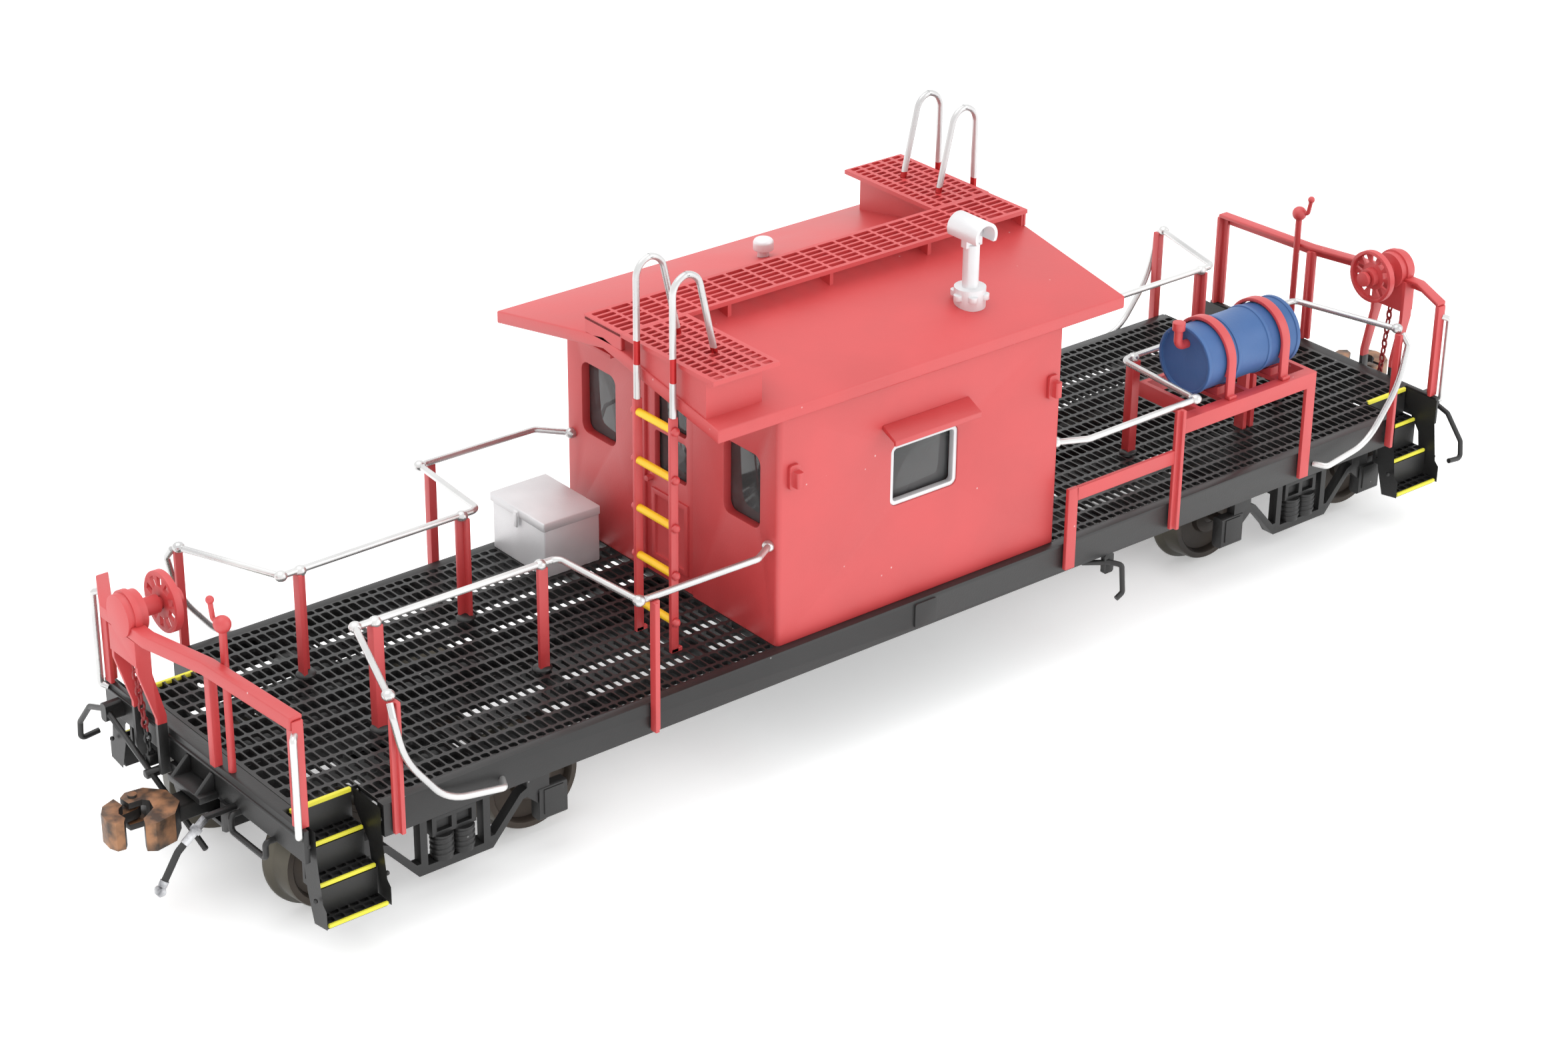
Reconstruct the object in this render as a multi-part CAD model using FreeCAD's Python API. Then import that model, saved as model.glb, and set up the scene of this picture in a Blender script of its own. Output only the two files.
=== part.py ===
import FreeCAD
import Part
import math
import os

# Model transfer caboose, HO scale (1:87.1). Millimetres, +Z up, X along the car, origin on the
# floor under the centre of the end sills. The A end is at -X and the B end at +X; the B end is
# the A end turned half a turn about Z, apart from the drum stand and the place of the cabin.

# ---- driving dimensions -------------------------------------------------------------------
AXLE_Z = 5.45             # wheel centre: the flanges stand on the floor
FLANGE_R = 5.45
TREAD_R = 4.8             # 33 inch wheel
WHEEL_BACK = 7.25         # half of the back-to-back gauge
WHEEL_WIDTH = 2.8
AXLE_R = 1.0
JOURNAL_R = 0.5
RUNNING_GAP = 0.05        # radial clearance of every pin, shaft and pivot
HALF_BASE = 9.9           # half of the truck's wheelbase
TRUCK_X = 50.9            # truck centre from the middle of the car
FRAME_Y = (11.9, 12.9)    # sideframe, inner and outer face
JOURNAL_Y = 13.05

DECK_Z = 13.0
DECK_T = 0.8
SILL_Z = 10.0             # underside of the side and end sills
HALF_W = 16.3             # outer face of the side sills
SILL_END = 59.9           # the side sills stop at the step wells
END_IN = 65.7             # end sill, inner and outer face
END_OUT = 67.1
STEP_DECK_Y = 12.3        # edge of the deck over the steps
STEP_OUT_Y = 17.3         # nosing of the lowest tread
STEP_BOTTOM = 4.2
SHEET = 0.6               # thickness of the pressed step and sill parts

CABIN_X = (-18.65, 14.3)
CABIN_MID = (CABIN_X[0] + CABIN_X[1]) / 2
CABIN_Y = 15.4
WALL = 0.9
ROOF_X = (-25.65, 21.15)
ROOF_Y = 15.97
EAVE_Z = 36.0
RIDGE_Z = 39.1
ROOF_T = 1.2
WALK_Y = 2.75             # half width of the ridge running board
WALK_Z = 40.25
WALK_T = 0.7
PLATFORM_X = 7.05         # length of a lateral platform along the car
PLATFORM_Y = 15.4

WIRE_R = 0.3
POST_W = 1.0
RAIL_Z = 23.1             # centre line of the side handrails
END_RAIL_Z = 22.6
COUPLER_Z = 8.6
COUPLER_PIVOT = 63.6
BRAKE_Y = 7.0             # brake wheel spindle
BRAKE_Z = 23.6


# ---- small geometry tools ---------------------------------------------------------------
def vec(x, y, z):
    return FreeCAD.Vector(x, y, z)


def box(x, y, z):
    """Box between two ordered corners, given as three (low, high) pairs."""
    return Part.makeBox(x[1] - x[0], y[1] - y[0], z[1] - z[0], vec(x[0], y[0], z[0]))


def round_box(x, y, z, radius, axis="Z"):
    """Box whose edges along one axis are rounded."""
    solid = box(x, y, z)
    edges = []
    for edge in solid.Edges:
        run = edge.Vertexes[1].Point - edge.Vertexes[0].Point
        if abs({"X": run.x, "Y": run.y, "Z": run.z}[axis]) > 1e-6:
            edges.append(edge)
    return solid.makeFillet(radius, edges)


def prism(points, start, depth):
    """Closed outline of three-dimensional points, pushed along a vector from an offset."""
    corners = [vec(*p) + vec(*start) for p in points]
    wire = Part.makePolygon(corners + corners[:1])
    return Part.Face(wire).extrude(vec(*depth))


def plate_xz(outline, y):
    """Flat plate from an outline in X and Z, between two values of Y."""
    return prism([(a, y[0], b) for a, b in outline], (0, 0, 0), (0, y[1] - y[0], 0))


def plate_yz(outline, x):
    return prism([(x[0], a, b) for a, b in outline], (0, 0, 0), (x[1] - x[0], 0, 0))


def plate_xy(outline, z):
    return prism([(a, b, z[0]) for a, b in outline], (0, 0, 0), (0, 0, z[1] - z[0]))


def cyl(radius, start, end):
    a = vec(*start)
    b = vec(*end)
    return Part.makeCylinder(radius, (b - a).Length, a, b - a)


def ring(outer, inner, start, end):
    return cyl(outer, start, end).cut(cyl(inner, start, end))


def fuse(*solids):
    return solids[0].multiFuse(list(solids[1:])).removeSplitter()


def group(solids):
    """Several separate solids kept in one node."""
    loose = []
    for solid in solids:
        loose.extend(solid.Solids)
    return loose[0] if len(loose) == 1 else Part.makeCompound(loose)


def rod(points, radius, bend):
    """Round wire through the points; bend is one radius, or a list with one for each corner."""
    corners = [vec(*p) for p in points]
    bends = bend if isinstance(bend, list) else [bend] * (len(points) - 2)
    edges = []
    last = corners[0]
    for before, here, after, bend_r in zip(corners, corners[1:], corners[2:], bends):
        way_in = (before - here).normalize()
        way_out = (after - here).normalize()
        half = way_in.getAngle(way_out) / 2
        reach = bend_r / math.tan(half)
        first = here + way_in * reach
        second = here + way_out * reach
        middle = (way_in + way_out).normalize()
        centre = here + middle * (bend_r / math.sin(half))
        crown = centre - middle * bend_r
        edges.append(Part.LineSegment(last, first).toShape())
        edges.append(Part.Arc(first, crown, second).toShape())
        last = second
    edges.append(Part.LineSegment(last, corners[-1]).toShape())
    path = Part.Wire(edges)
    start = (corners[1] - corners[0]).normalize()
    section = Part.Wire([Part.makeCircle(radius, corners[0], start)])
    return path.makePipeShell([section], True, False)


def turned(solid):
    """The same part at the other end of the car."""
    copy = solid.copy()
    copy.rotate(vec(0, 0, 0), vec(0, 0, 1), 180)
    return copy


def mirrored(solid):
    """The same part on the other side of the car."""
    return solid.mirror(vec(0, 0, 0), vec(0, 1, 0))


def about_cabin(solid):
    """Half a turn about the middle of the cabin."""
    copy = solid.copy()
    copy.rotate(vec(CABIN_MID, 0, 0), vec(0, 0, 1), 180)
    return copy


# ---- underframe ---------------------------------------------------------------------------
def centre_sill():
    """Channel along the middle, open below, with a bowl for each truck."""
    sill_w = 3.2
    top = DECK_Z - DECK_T
    body = box((-END_IN, END_IN), (-sill_w, sill_w), (SILL_Z, top))
    body = body.cut(box((-TRUCK_X + 4, TRUCK_X - 4), (-sill_w + SHEET, sill_w - SHEET),
                        (SILL_Z, top - SHEET)))
    for x in (-TRUCK_X, TRUCK_X):
        body = body.fuse(cyl(2.6, (x, 0, 8.9), (x, 0, SILL_Z)))
        body = body.cut(cyl(0.9, (x, 0, 8.9), (x, 0, top)))
    return body.removeSplitter()


def cross_bearers():
    """Short beams from the centre sill out to the side sills."""
    top = DECK_Z - DECK_T
    beams = []
    places = [(-TRUCK_X, 1.6), (-36.0, 0.5), (-23.0, 0.5), (-8.0, 0.5), (5.0, 0.5), (20.0, 0.5),
              (33.5, 0.5), (TRUCK_X, 1.6)]
    for x, half in places:
        for side in (-1, 1):
            span = sorted((side * 3.2, side * (HALF_W - SHEET)))
            beams.append(box((x - half, x + half), span, (top - 1.4, top)))
    return beams


def side_sills():
    """Two rolled channels along the sides, with the deck's flat border on top."""
    web = box((-SILL_END, SILL_END), (-HALF_W, -HALF_W + SHEET), (SILL_Z, DECK_Z))
    lip = box((-SILL_END, SILL_END), (-HALF_W, -HALF_W + 1.5), (SILL_Z, SILL_Z + 0.4))
    flange = box((-SILL_END, SILL_END), (-HALF_W, -HALF_W + 0.95), (DECK_Z - DECK_T, DECK_Z))
    near = fuse(web, lip, flange)
    plate = round_box((-3.6, -1.0), (-HALF_W - 0.25, -HALF_W), (SILL_Z + 0.3, DECK_Z - 0.3), 0.25, "Y")
    near = near.fuse(plate)
    return group([near, mirrored(near)])


def end_sill():
    """Deep end beam between the step wells, thinned to a lip in front of them."""
    half = CABIN_Y + 0.5
    beam = box((-END_OUT, -END_IN), (-half, half), (SILL_Z, DECK_Z))
    for side in (-1, 1):
        ends = sorted((side * (STEP_DECK_Y - 0.35), side * (half + 1)))
        beam = beam.cut(box((-END_OUT + 0.5, -END_IN + 1), ends, (SILL_Z - 1, DECK_Z + 1)))
    rib = 0.3
    strip = box((-END_OUT - 0.2, -END_OUT), (-half, half), (DECK_Z - 0.9, DECK_Z - 0.9 + rib))
    return beam.fuse(strip).removeSplitter()


def deck(x_low, x_high, step_low):
    """Flat walkway plate, cut back where the steps come up at its outer end."""
    edge = HALF_W - 0.95
    plate = box((x_low, x_high), (-edge, edge), (DECK_Z - DECK_T, DECK_Z))
    for side in (-1, 1):
        ends = sorted((side * STEP_DECK_Y, side * (edge + 1)))
        plate = plate.cut(box(step_low, ends, (0, DECK_Z + 1)))
    return plate


def cabin_floor():
    return box((CABIN_X[0] + 0.05, CABIN_X[1] - 0.05), (-HALF_W + 0.95, HALF_W - 0.95),
               (DECK_Z - DECK_T, DECK_Z))


def ballast_weight():
    """Steel slab glued to the floor inside the cabin."""
    return round_box((CABIN_MID - 13, CABIN_MID + 13), (-12.5, 12.5), (DECK_Z, DECK_Z + 3.0), 0.8)


def step_well():
    """Pressed stair at one corner: two stringers, three treads and their risers."""
    inner_x = -SILL_END
    outer_x = -END_OUT + 0.5
    top = DECK_Z - DECK_T
    stringer = [(-STEP_DECK_Y, top), (-HALF_W, top), (-HALF_W, 10.4), (-16.85, 6.4), (-17.35, 5.9),
                (-17.35, STEP_BOTTOM),
                (-15.4, STEP_BOTTOM - 0.3), (-14.6, 6.6), (-14.3, 8.8), (-STEP_DECK_Y, 11.4)]
    far = plate_yz(stringer, (outer_x, outer_x + SHEET))
    near = plate_yz(stringer, (inner_x - SHEET, inner_x))
    body = far.fuse(near)
    steps = 3
    rise = (DECK_Z - STEP_BOTTOM - 0.4) / steps
    going = (STEP_OUT_Y - STEP_DECK_Y) / steps
    riser = 0.35
    x = (outer_x + SHEET / 2, inner_x - SHEET / 2)
    for n in range(steps):
        back = -STEP_DECK_Y - going * n
        tread_z = DECK_Z - rise * (n + 1)
        body = body.fuse(box(x, (back - going, back + riser), (tread_z - 0.4, tread_z)))
        riser_top = min(tread_z + rise - 0.4, top)
        body = body.fuse(box(x, (back, back + riser), (tread_z, riser_top)))
    return body.removeSplitter()


# ---- couplers, draft gear, levers and hoses ---------------------------------------------------
def draft_box():
    """Coupler pocket under the centre sill, its striker and the two gussets over it."""
    back = COUPLER_PIVOT - 3.0
    shell = box((-END_OUT, -back), (-3.3, 3.3), (COUPLER_Z - 1.5, SILL_Z))
    shell = shell.cut(box((-END_OUT - 1, -back - 0.5), (-2.7, 2.7), (COUPLER_Z - 1.1, COUPLER_Z + 1.1)))
    post = cyl(0.8, (-COUPLER_PIVOT, 0, COUPLER_Z - 1.3), (-COUPLER_PIVOT, 0, COUPLER_Z + 1.3))
    striker = box((-68.9, -END_OUT), (-2.6, 2.6), (COUPLER_Z + 1.2, COUPLER_Z + 1.8))
    pieces = [post, striker]
    for y in (-1.9, 1.9):
        corners = [(-END_OUT - 0.2, DECK_Z - 1.0), (-68.9, COUPLER_Z + 1.8), (-END_OUT, COUPLER_Z + 1.8),
                   (-END_OUT, DECK_Z - 1.0)]
        pieces.append(plate_xz(corners, (y - 0.2, y + 0.2)))
    cheek = [(3.3, SILL_Z), (4.7, SILL_Z), (4.5, 8.2), (4.0, 7.3), (3.3, COUPLER_Z - 1.5)]
    cheek = plate_yz(cheek, (-END_OUT - 0.35, -END_OUT + 0.1))
    return fuse(shell, *pieces, cheek, mirrored(cheek))


def coupler():
    """Cast coupler: shank, head with its guard arm, and two ears for the knuckle pin."""
    half = 1.3
    shank = round_box((-71.0, -COUPLER_PIVOT + 1.7), (-1.1, 1.1),
                      (COUPLER_Z - 0.8, COUPLER_Z + 0.8), 0.2, "X")
    shank = shank.cut(cyl(0.8 + RUNNING_GAP, (-COUPLER_PIVOT, 0, 0), (-COUPLER_PIVOT, 0, 20)))
    outline = [(-69.9, -1.1), (-71.2, -2.6), (-73.2, -3.0), (-73.9, -2.5), (-73.6, -1.7), (-72.1, -0.7),
               (-71.8, 0.5), (-72.2, 1.0), (-73.4, 1.1), (-73.5, 2.3), (-72.8, 2.8), (-71.2, 2.6),
               (-69.9, 1.1)]
    head = plate_xy(outline, (COUPLER_Z - half, COUPLER_Z + half))
    slot = plate_xy([(-71.7, 0.75), (-71.7, 4.0), (-75, 4.0), (-75, 0.75)],
                    (COUPLER_Z - 0.75, COUPLER_Z + 0.75))
    pin = cyl(0.4, (-72.6, 1.9, COUPLER_Z - half), (-72.6, 1.9, COUPLER_Z + half + 0.25))
    return fuse(shank, head.cut(slot), pin)


def knuckle():
    """Hooked jaw on the coupler's pin, thinner where it lies between the ears."""
    half = 1.3
    nose = [(-74.0, 2.5), (-75.3, 2.0), (-76.0, 1.0), (-76.1, -0.3), (-75.8, -1.1), (-75.1, -1.2),
            (-74.7, -0.7), (-74.8, 0.2), (-74.4, 0.9), (-73.9, 1.2)]
    jaw = plate_xy(nose, (COUPLER_Z - half, COUPLER_Z + half))
    tail = plate_xy([(-74.6, 1.0), (-74.3, 2.4), (-72.7, 2.6), (-72.2, 2.3), (-72.1, 1.5), (-72.6, 1.2)],
                    (COUPLER_Z - 0.45, COUPLER_Z + 0.45))
    hole = cyl(0.4 + RUNNING_GAP, (-72.6, 1.9, 0), (-72.6, 1.9, 20))
    return fuse(jaw, tail).cut(hole)


def cut_lever():
    """Bent uncoupling wire on two eye brackets, with its handle at the corner."""
    wire = rod([(-68.55, -2.4, 5.4), (-68.55, 13.3, 11.6), (-68.7, 15.9, 10.7), (-68.7, 17.9, 8.3),
                (-68.7, 18.1, 6.5), (-66.9, 18.1, 6.7)],
               0.26, 0.45)
    bracket = round_box((-68.9, -END_OUT), (12.6, 13.5), (10.6, 12.3), 0.3, "X")
    eye = round_box((-69.1, -END_OUT), (5.6, 6.4), (8.4, 9.05), 0.2, "X")
    stem = box((-END_OUT - 0.3, -END_OUT), (5.6, 6.4), (8.5, 11.0))
    return fuse(wire, bracket, eye, stem)


def bleed_rod():
    """Hanging plate under the near sill, with the bent rod of the air release through it."""
    y = -HALF_W
    plate = round_box((20.2, 21.4), (y, y + 0.5), (SILL_Z - 2.0, SILL_Z), 0.25, "Y")
    wire = rod([(18.6, y + 1.4, 9.2), (20.8, y - 0.2, 9.2), (21.4, y - 1.1, 9.1), (21.7, y - 1.1, 6.1),
                (20.9, y - 1.1, 5.7)], 0.26, 0.35)
    return fuse(plate, wire)


def hose_fitting():
    """Angle cock on its arm from the end sill, and the coupling at the hose's far end."""
    arm = round_box((-70.1, -END_OUT + 0.1), (-5.5, -5.0), (10.1, 10.6), 0.15, "X")
    cock = cyl(0.36, (-69.9, -5.25, 10.3), (-72.0, -5.25, 8.6))
    handle = cyl(0.5, (-70.64, -5.25, 9.7), (-71.06, -5.25, 9.36))
    collar = cyl(0.38, (-74.0, -5.25, 5.9), (-74.27, -5.25, 5.46))
    gladhand = round_box((-74.85, -74.1), (-5.55, -4.95), (4.7, 5.5), 0.25, "Y")
    return group([fuse(arm, cock, handle), fuse(collar, gladhand)])


def air_hose():
    """Short stiff moulded hose between the angle cock and its coupling."""
    return rod([(-72.0, -5.25, 8.6), (-72.63, -5.25, 8.09), (-74.0, -5.25, 5.9)], 0.3, 1.2)


def sill_grab_iron():
    """Staple-shaped hand hold hanging under the end sill."""
    x = -END_OUT - 0.35
    wire = rod([(-END_OUT + 0.2, -5.9, 10.1), (x - 0.5, -5.9, 10.1), (x - 0.5, -5.9, 8.6),
                (x - 0.5, -11.2, 8.6), (x - 0.5, -11.2, 10.1),
                (-END_OUT + 0.2, -11.2, 10.1)], 0.26, 0.4)
    return wire


# ---- end railings and hand brake ------------------------------------------------------------
def end_rail():
    """Top rail of angle section across the end, bowed outwards round the brake housing."""
    low, high = END_RAIL_Z - 0.6, END_RAIL_Z + 0.6
    thick = 0.4
    centre = [(-66.8, -15.2), (-67.6, -3.2), (-69.1, 3.6), (-69.1, 10.4), (-66.8, 15.2)]
    half = 0.6
    outer = [(x - half, y) for x, y in centre]
    inner = [(x + half, y) for x, y in centre]
    upright = [(x - half + thick, y) for x, y in centre]
    top_leg = plate_xy(outer + inner[::-1], (high - thick, high))
    return fuse(top_leg, plate_xy(outer + upright[::-1], (low, high)))


def angle_post(x, y, z_low, z_high, turn_x, turn_y, leg=POST_W):
    """Rolled angle standing on end; its heel points along turn_x and turn_y."""
    thick = 0.4
    solid = box((0, leg), (0, thick), (z_low, z_high)).fuse(box((0, thick), (0, leg), (z_low, z_high)))
    solid = solid.removeSplitter()
    if turn_x > 0:
        solid = solid.mirror(vec(leg / 2, 0, 0), vec(1, 0, 0))
    if turn_y > 0:
        solid = solid.mirror(vec(0, leg / 2, 0), vec(0, 1, 0))
    solid.translate(vec(x - leg / 2, y - leg / 2, 0))
    return solid


def end_posts():
    """Corner angles and the angle between them, standing on the end sill."""
    top = END_RAIL_Z + 0.2
    near = angle_post(-66.75, -14.9, DECK_Z, top, -1, -1)
    far = angle_post(-66.75, 14.9, DECK_Z, top, -1, 1)
    middle = angle_post(-67.1, -2.6, DECK_Z, top, -1, -1, 0.8)
    return [post.cut(end_rail()) for post in (near, far, middle)]


def brake_stand():
    """Gear housing over two cranked side plates that run down to the end sill."""
    spindle = (BRAKE_Y, BRAKE_Z)
    case = cyl(1.85, (-69.9, *spindle), (-68.0, *spindle))
    rim = cyl(2.05, (-69.3, *spindle), (-68.7, *spindle))
    foot = box((-69.7, -68.3), (BRAKE_Y - 2.15, BRAKE_Y + 2.15), (19.6, BRAKE_Z - 0.7))
    body = fuse(case, rim, foot)
    body = body.cut(end_rail())
    crank = [(-69.6, 20.0), (-68.3, 20.0), (-68.3, 18.6), (-67.3, 14.4), (-67.3, DECK_Z),
             (-END_OUT - 0.2, DECK_Z), (-END_OUT - 0.2, 8.9),
             (-68.2, 8.9), (-68.2, 14.2), (-69.6, 18.9)]
    for y in (BRAKE_Y - 2.15, BRAKE_Y + 1.75):
        body = body.fuse(plate_xz(crank, (y, y + 0.4)))
    shaft = cyl(0.5, (-68.0, *spindle), (-64.5, *spindle))
    collar = cyl(0.8, (-68.0, *spindle), (-66.2, *spindle))
    nut = cyl(0.75, (-64.5, *spindle), (-64.1, *spindle))
    return fuse(body, shaft, collar, nut)


def brake_wheel():
    """Dished hand wheel with ten holes round its web, running on the housing's spindle."""
    spindle = (BRAKE_Y, BRAKE_Z)
    disc = cyl(2.7, (-65.9, *spindle), (-65.25, *spindle))
    dish = cyl(2.35, (-65.6, *spindle), (-65.2, *spindle))
    hub = cyl(0.95, (-65.9, *spindle), (-64.8, *spindle))
    body = disc.cut(dish).fuse(hub)
    spokes = 10
    for n in range(spokes):
        turn = 360.0 / spokes * n
        hole = Part.makeBox(1.2, 0.66, 0.85, vec(-66.2, -0.33, 1.4))
        hole.rotate(vec(0, 0, 0), vec(1, 0, 0), turn)
        hole.translate(vec(0, *spindle))
        body = body.cut(hole)
    bore = cyl(0.5 + RUNNING_GAP, (-67, *spindle), (-64, *spindle))
    return body.cut(bore).removeSplitter()


def brake_chain():
    """Chain from the housing down to the lever under the sill, as one straight run."""
    run = cyl(0.3, (-67.9, BRAKE_Y, 9.4), (-68.9, BRAKE_Y, 19.6))
    clevis = round_box((-68.3, -67.3), (BRAKE_Y - 0.4, BRAKE_Y + 0.4), (8.9, 9.9), 0.2, "Y")
    return fuse(run, clevis)


def valve_pipe():
    """Whistle pipe up the inside of the railing, with its ball valve and lever."""
    y = -4.3
    x = -66.6
    pipe = cyl(0.33, (x, y, DECK_Z), (x, y, 26.4))
    ball = Part.makeSphere(0.75, vec(x, y, 26.6))
    lever = rod([(x, y, 26.6), (x - 0.3, y + 0.9, 26.8), (x - 0.3, y + 1.2, 28.3)], 0.22, 0.3)
    knob = Part.makeSphere(0.36, vec(x - 0.3, y + 1.2, 28.4))
    return fuse(pipe, ball, lever, knob)


def corner_grab():
    """Upright wire hand hold outside a corner post."""
    x = -67.5
    y = -15.35
    return rod([(x + 0.45, y + 0.1, 21.6), (x, y - 0.45, 21.4), (x, y - 0.45, 12.6),
                (x + 0.45, y + 0.2, 12.4)], 0.3, 0.3)


# ---- side handrails -----------------------------------------------------------------------
def handrail_a(side):
    """Wire from the step post round the two inner posts and out to the cabin corner, A end."""
    s = side
    return rod([(-58.9, s * 16.2, 22.7), (-55.2, s * 5.7, RAIL_Z), (-35.0, s * 5.9, RAIL_Z),
                (-34.2, s * 16.35, RAIL_Z),
                (-21.6, s * 16.35, RAIL_Z - 0.1), (CABIN_X[0] - 0.02, s * 14.3, RAIL_Z - 0.5)], WIRE_R, 0.9)


def handrail_b(side):
    """The same wire at the B end."""
    s = side
    return rod([(59.1, s * 16.2, 22.7), (55.6, s * 5.7, RAIL_Z), (31.8, s * 5.7, RAIL_Z),
                (31.0, s * 16.35, RAIL_Z),
                (17.2, s * 16.35, RAIL_Z - 0.1), (CABIN_X[1] + 0.02, s * 14.6, RAIL_Z - 0.3)], WIRE_R, 0.9)


def rail_posts():
    """Angle posts under the handrails, and the low guard bar beside the cabin."""
    top = RAIL_Z - WIRE_R
    posts = []
    outside = HALF_W + 0.5
    slim = 0.8
    for side in (-1, 1):
        for x in (-53.3, 54.0):
            posts.append(angle_post(x, side * 5.7, DECK_Z, top, x, side))
        for x in (-36.8, 33.2):
            posts.append(angle_post(x, side * 5.8, DECK_Z, top, -x, side))
        for x in (-32.8, 28.6):
            posts.append(angle_post(x, side * outside, SILL_Z + 0.4, top, x, -side, slim))
        for x in (-58.8, 59.0):
            posts.append(angle_post(x, side * outside, SILL_Z + 0.2, 22.4, -x, -side, slim))
    low_z = 18.0
    bar = box((15.8, 28.2), (-HALF_W - 0.5, -HALF_W - 0.1), (low_z - 0.7, low_z + 0.7))
    stub = box((14.6, 15.8), (-HALF_W - 0.5, -HALF_W - 0.05), (SILL_Z + 0.4, low_z + 0.7))
    posts.extend([bar, stub])
    return posts


def step_grab(x_sign, side):
    """Wire hand hold that curves from the step post's head down to the side sill."""
    y = side * (HALF_W + 1.25)
    inside = side * (HALF_W - 0.05)
    points = [(-59.2, y - side * 0.7, 22.4), (-59.4, y, 21.4), (-58.5, y, 17.2), (-54.6, y, 12.1),
              (-49.0, y, 11.2), (-48.4, inside, 11.2)]
    mirrored_points = [(-x_sign * a, b, c) for a, b, c in points]
    return rod(mirrored_points, WIRE_R, [0.5, 9.0, 5.0, 0.5])


# ---- cabin ------------------------------------------------------------------------------
WINDOW_END_Y = (7.8, 12.9)
WINDOW_END_Z = (23.4, 30.4)
WINDOW_SIDE_X = (CABIN_MID - 3.8, CABIN_MID + 4.0)
WINDOW_SIDE_Z = (22.7, 28.6)
DOOR_Y = 3.5
DOOR_TOP = 32.6
PANE_T = 0.3


def roof_line(y):
    """Height of the roof's upper face at a distance from the ridge."""
    return RIDGE_Z - (RIDGE_Z - EAVE_Z) * abs(y) / ROOF_Y


def gable(half, drop, x):
    """Five-sided block with the roof's pitch, its top a given drop below the roof."""
    outline = [(-half, DECK_Z), (half, DECK_Z), (half, roof_line(half) - drop), (0, RIDGE_Z - drop),
               (-half, roof_line(half) - drop)]
    return plate_yz(outline, x)


def cabin_shell():
    """Moulded box with peaked ends, and a drip strip over one window of each."""
    outer = gable(CABIN_Y, ROOF_T, CABIN_X)
    corners = [e for e in outer.Edges if abs(e.BoundBox.ZLength) > 5 and e.BoundBox.YLength < 0.01]
    outer = outer.makeFillet(0.5, corners)
    inner = gable(CABIN_Y - WALL, ROOF_T - 1, (CABIN_X[0] + WALL, CABIN_X[1] - WALL))
    shell = outer.cut(inner)
    for side in (-1, 1):
        span = sorted((side * WINDOW_END_Y[0], side * WINDOW_END_Y[1]))
        shell = shell.cut(round_box((CABIN_X[0] - 1, CABIN_X[1] + 1), span, WINDOW_END_Z, 0.9, "X"))
    shell = shell.cut(round_box(WINDOW_SIDE_X, (-CABIN_Y - 1, CABIN_Y + 1), WINDOW_SIDE_Z, 0.7, "Y"))
    shell = shell.cut(box((CABIN_X[0] - 1, CABIN_X[1] + 1), (-DOOR_Y, DOOR_Y), (DECK_Z, DOOR_TOP)))
    strip = box((CABIN_X[0] - 0.5, CABIN_X[0] + 0.1), (7.8, 13.3), (32.4, 32.8))
    return fuse(shell, strip, about_cabin(strip))


def end_door(x_face, out):
    """Panelled door with two lights, set back in its opening."""
    back = x_face - out * 0.8
    front = x_face - out * 0.25
    span = sorted((back, front))
    leaf = box(span, (-DOOR_Y, DOOR_Y), (DECK_Z, DOOR_TOP))
    for z in ((23.4, 27.4), (28.0, 31.6)):
        leaf = leaf.cut(round_box((span[0] - 1, span[1] + 1), (-2.3, 2.3), z, 0.4, "X"))
    panel = sorted((front, front + out * 0.2))
    frame = box(panel, (-2.6, 2.6), (14.6, 21.6))
    frame = frame.cut(box((panel[0] - 1, panel[1] + 1), (-2.1, 2.1), (15.1, 21.1)))
    knob = cyl(0.28, (front, 2.9, 22.4), (front + out * 0.55, 2.9, 22.4))
    return fuse(leaf, frame, knob)


def window_panes():
    """Clear sheets behind each window and behind the door lights."""
    panes = []
    lap = 0.5
    for x in (CABIN_X[0] + WALL, CABIN_X[1] - WALL - PANE_T):
        for side in (-1, 1):
            span = sorted((side * (WINDOW_END_Y[0] - lap), side * (WINDOW_END_Y[1] + lap)))
            panes.append(box((x, x + PANE_T), span, (WINDOW_END_Z[0] - lap, WINDOW_END_Z[1] + lap)))
        panes.append(box((x, x + PANE_T), (-2.8, 2.8), (23.0, 32.0)))
    for y in (-CABIN_Y + WALL, CABIN_Y - WALL - PANE_T):
        panes.append(box((WINDOW_SIDE_X[0] - lap, WINDOW_SIDE_X[1] + lap), (y, y + PANE_T),
                         (WINDOW_SIDE_Z[0] - lap, WINDOW_SIDE_Z[1] + lap)))
    return panes


def side_window_frame(side):
    """Bright sash set in the side window."""
    y = sorted((side * (CABIN_Y - 0.75), side * (CABIN_Y - 0.1)))
    bar = 0.4
    x = WINDOW_SIDE_X
    z = WINDOW_SIDE_Z
    outer = round_box(x, y, z, 0.7, "Y")
    hole = round_box((x[0] + bar, x[1] - bar), (y[0] - 1, y[1] + 1), (z[0] + bar, z[1] - bar), 0.35, "Y")
    return outer.cut(hole)


def awning(side):
    """Sloping drip cap over a side window."""
    s = side
    lip = CABIN_Y + 1.8
    outline = [(s * CABIN_Y, 31.0), (s * lip, 30.1), (s * lip, 29.6), (s * (lip - 0.3), 29.6),
               (s * (lip - 0.3), 29.85), (s * CABIN_Y, 30.5)]
    return plate_yz(outline, (CABIN_MID - 4.9, CABIN_MID + 5.1))


def marker_bracket(x, side):
    """Lamp socket on the cabin side, near its corner."""
    y0 = side * CABIN_Y
    back = round_box((x - 0.55, x + 0.55), sorted((y0, y0 + side * 0.35)), (28.0, 30.3), 0.25, "Y")
    cup = round_box((x - 0.3, x + 0.4), sorted((y0, y0 + side * 1.1)), (28.3, 29.8), 0.25, "Z")
    return fuse(back, cup)


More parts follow.
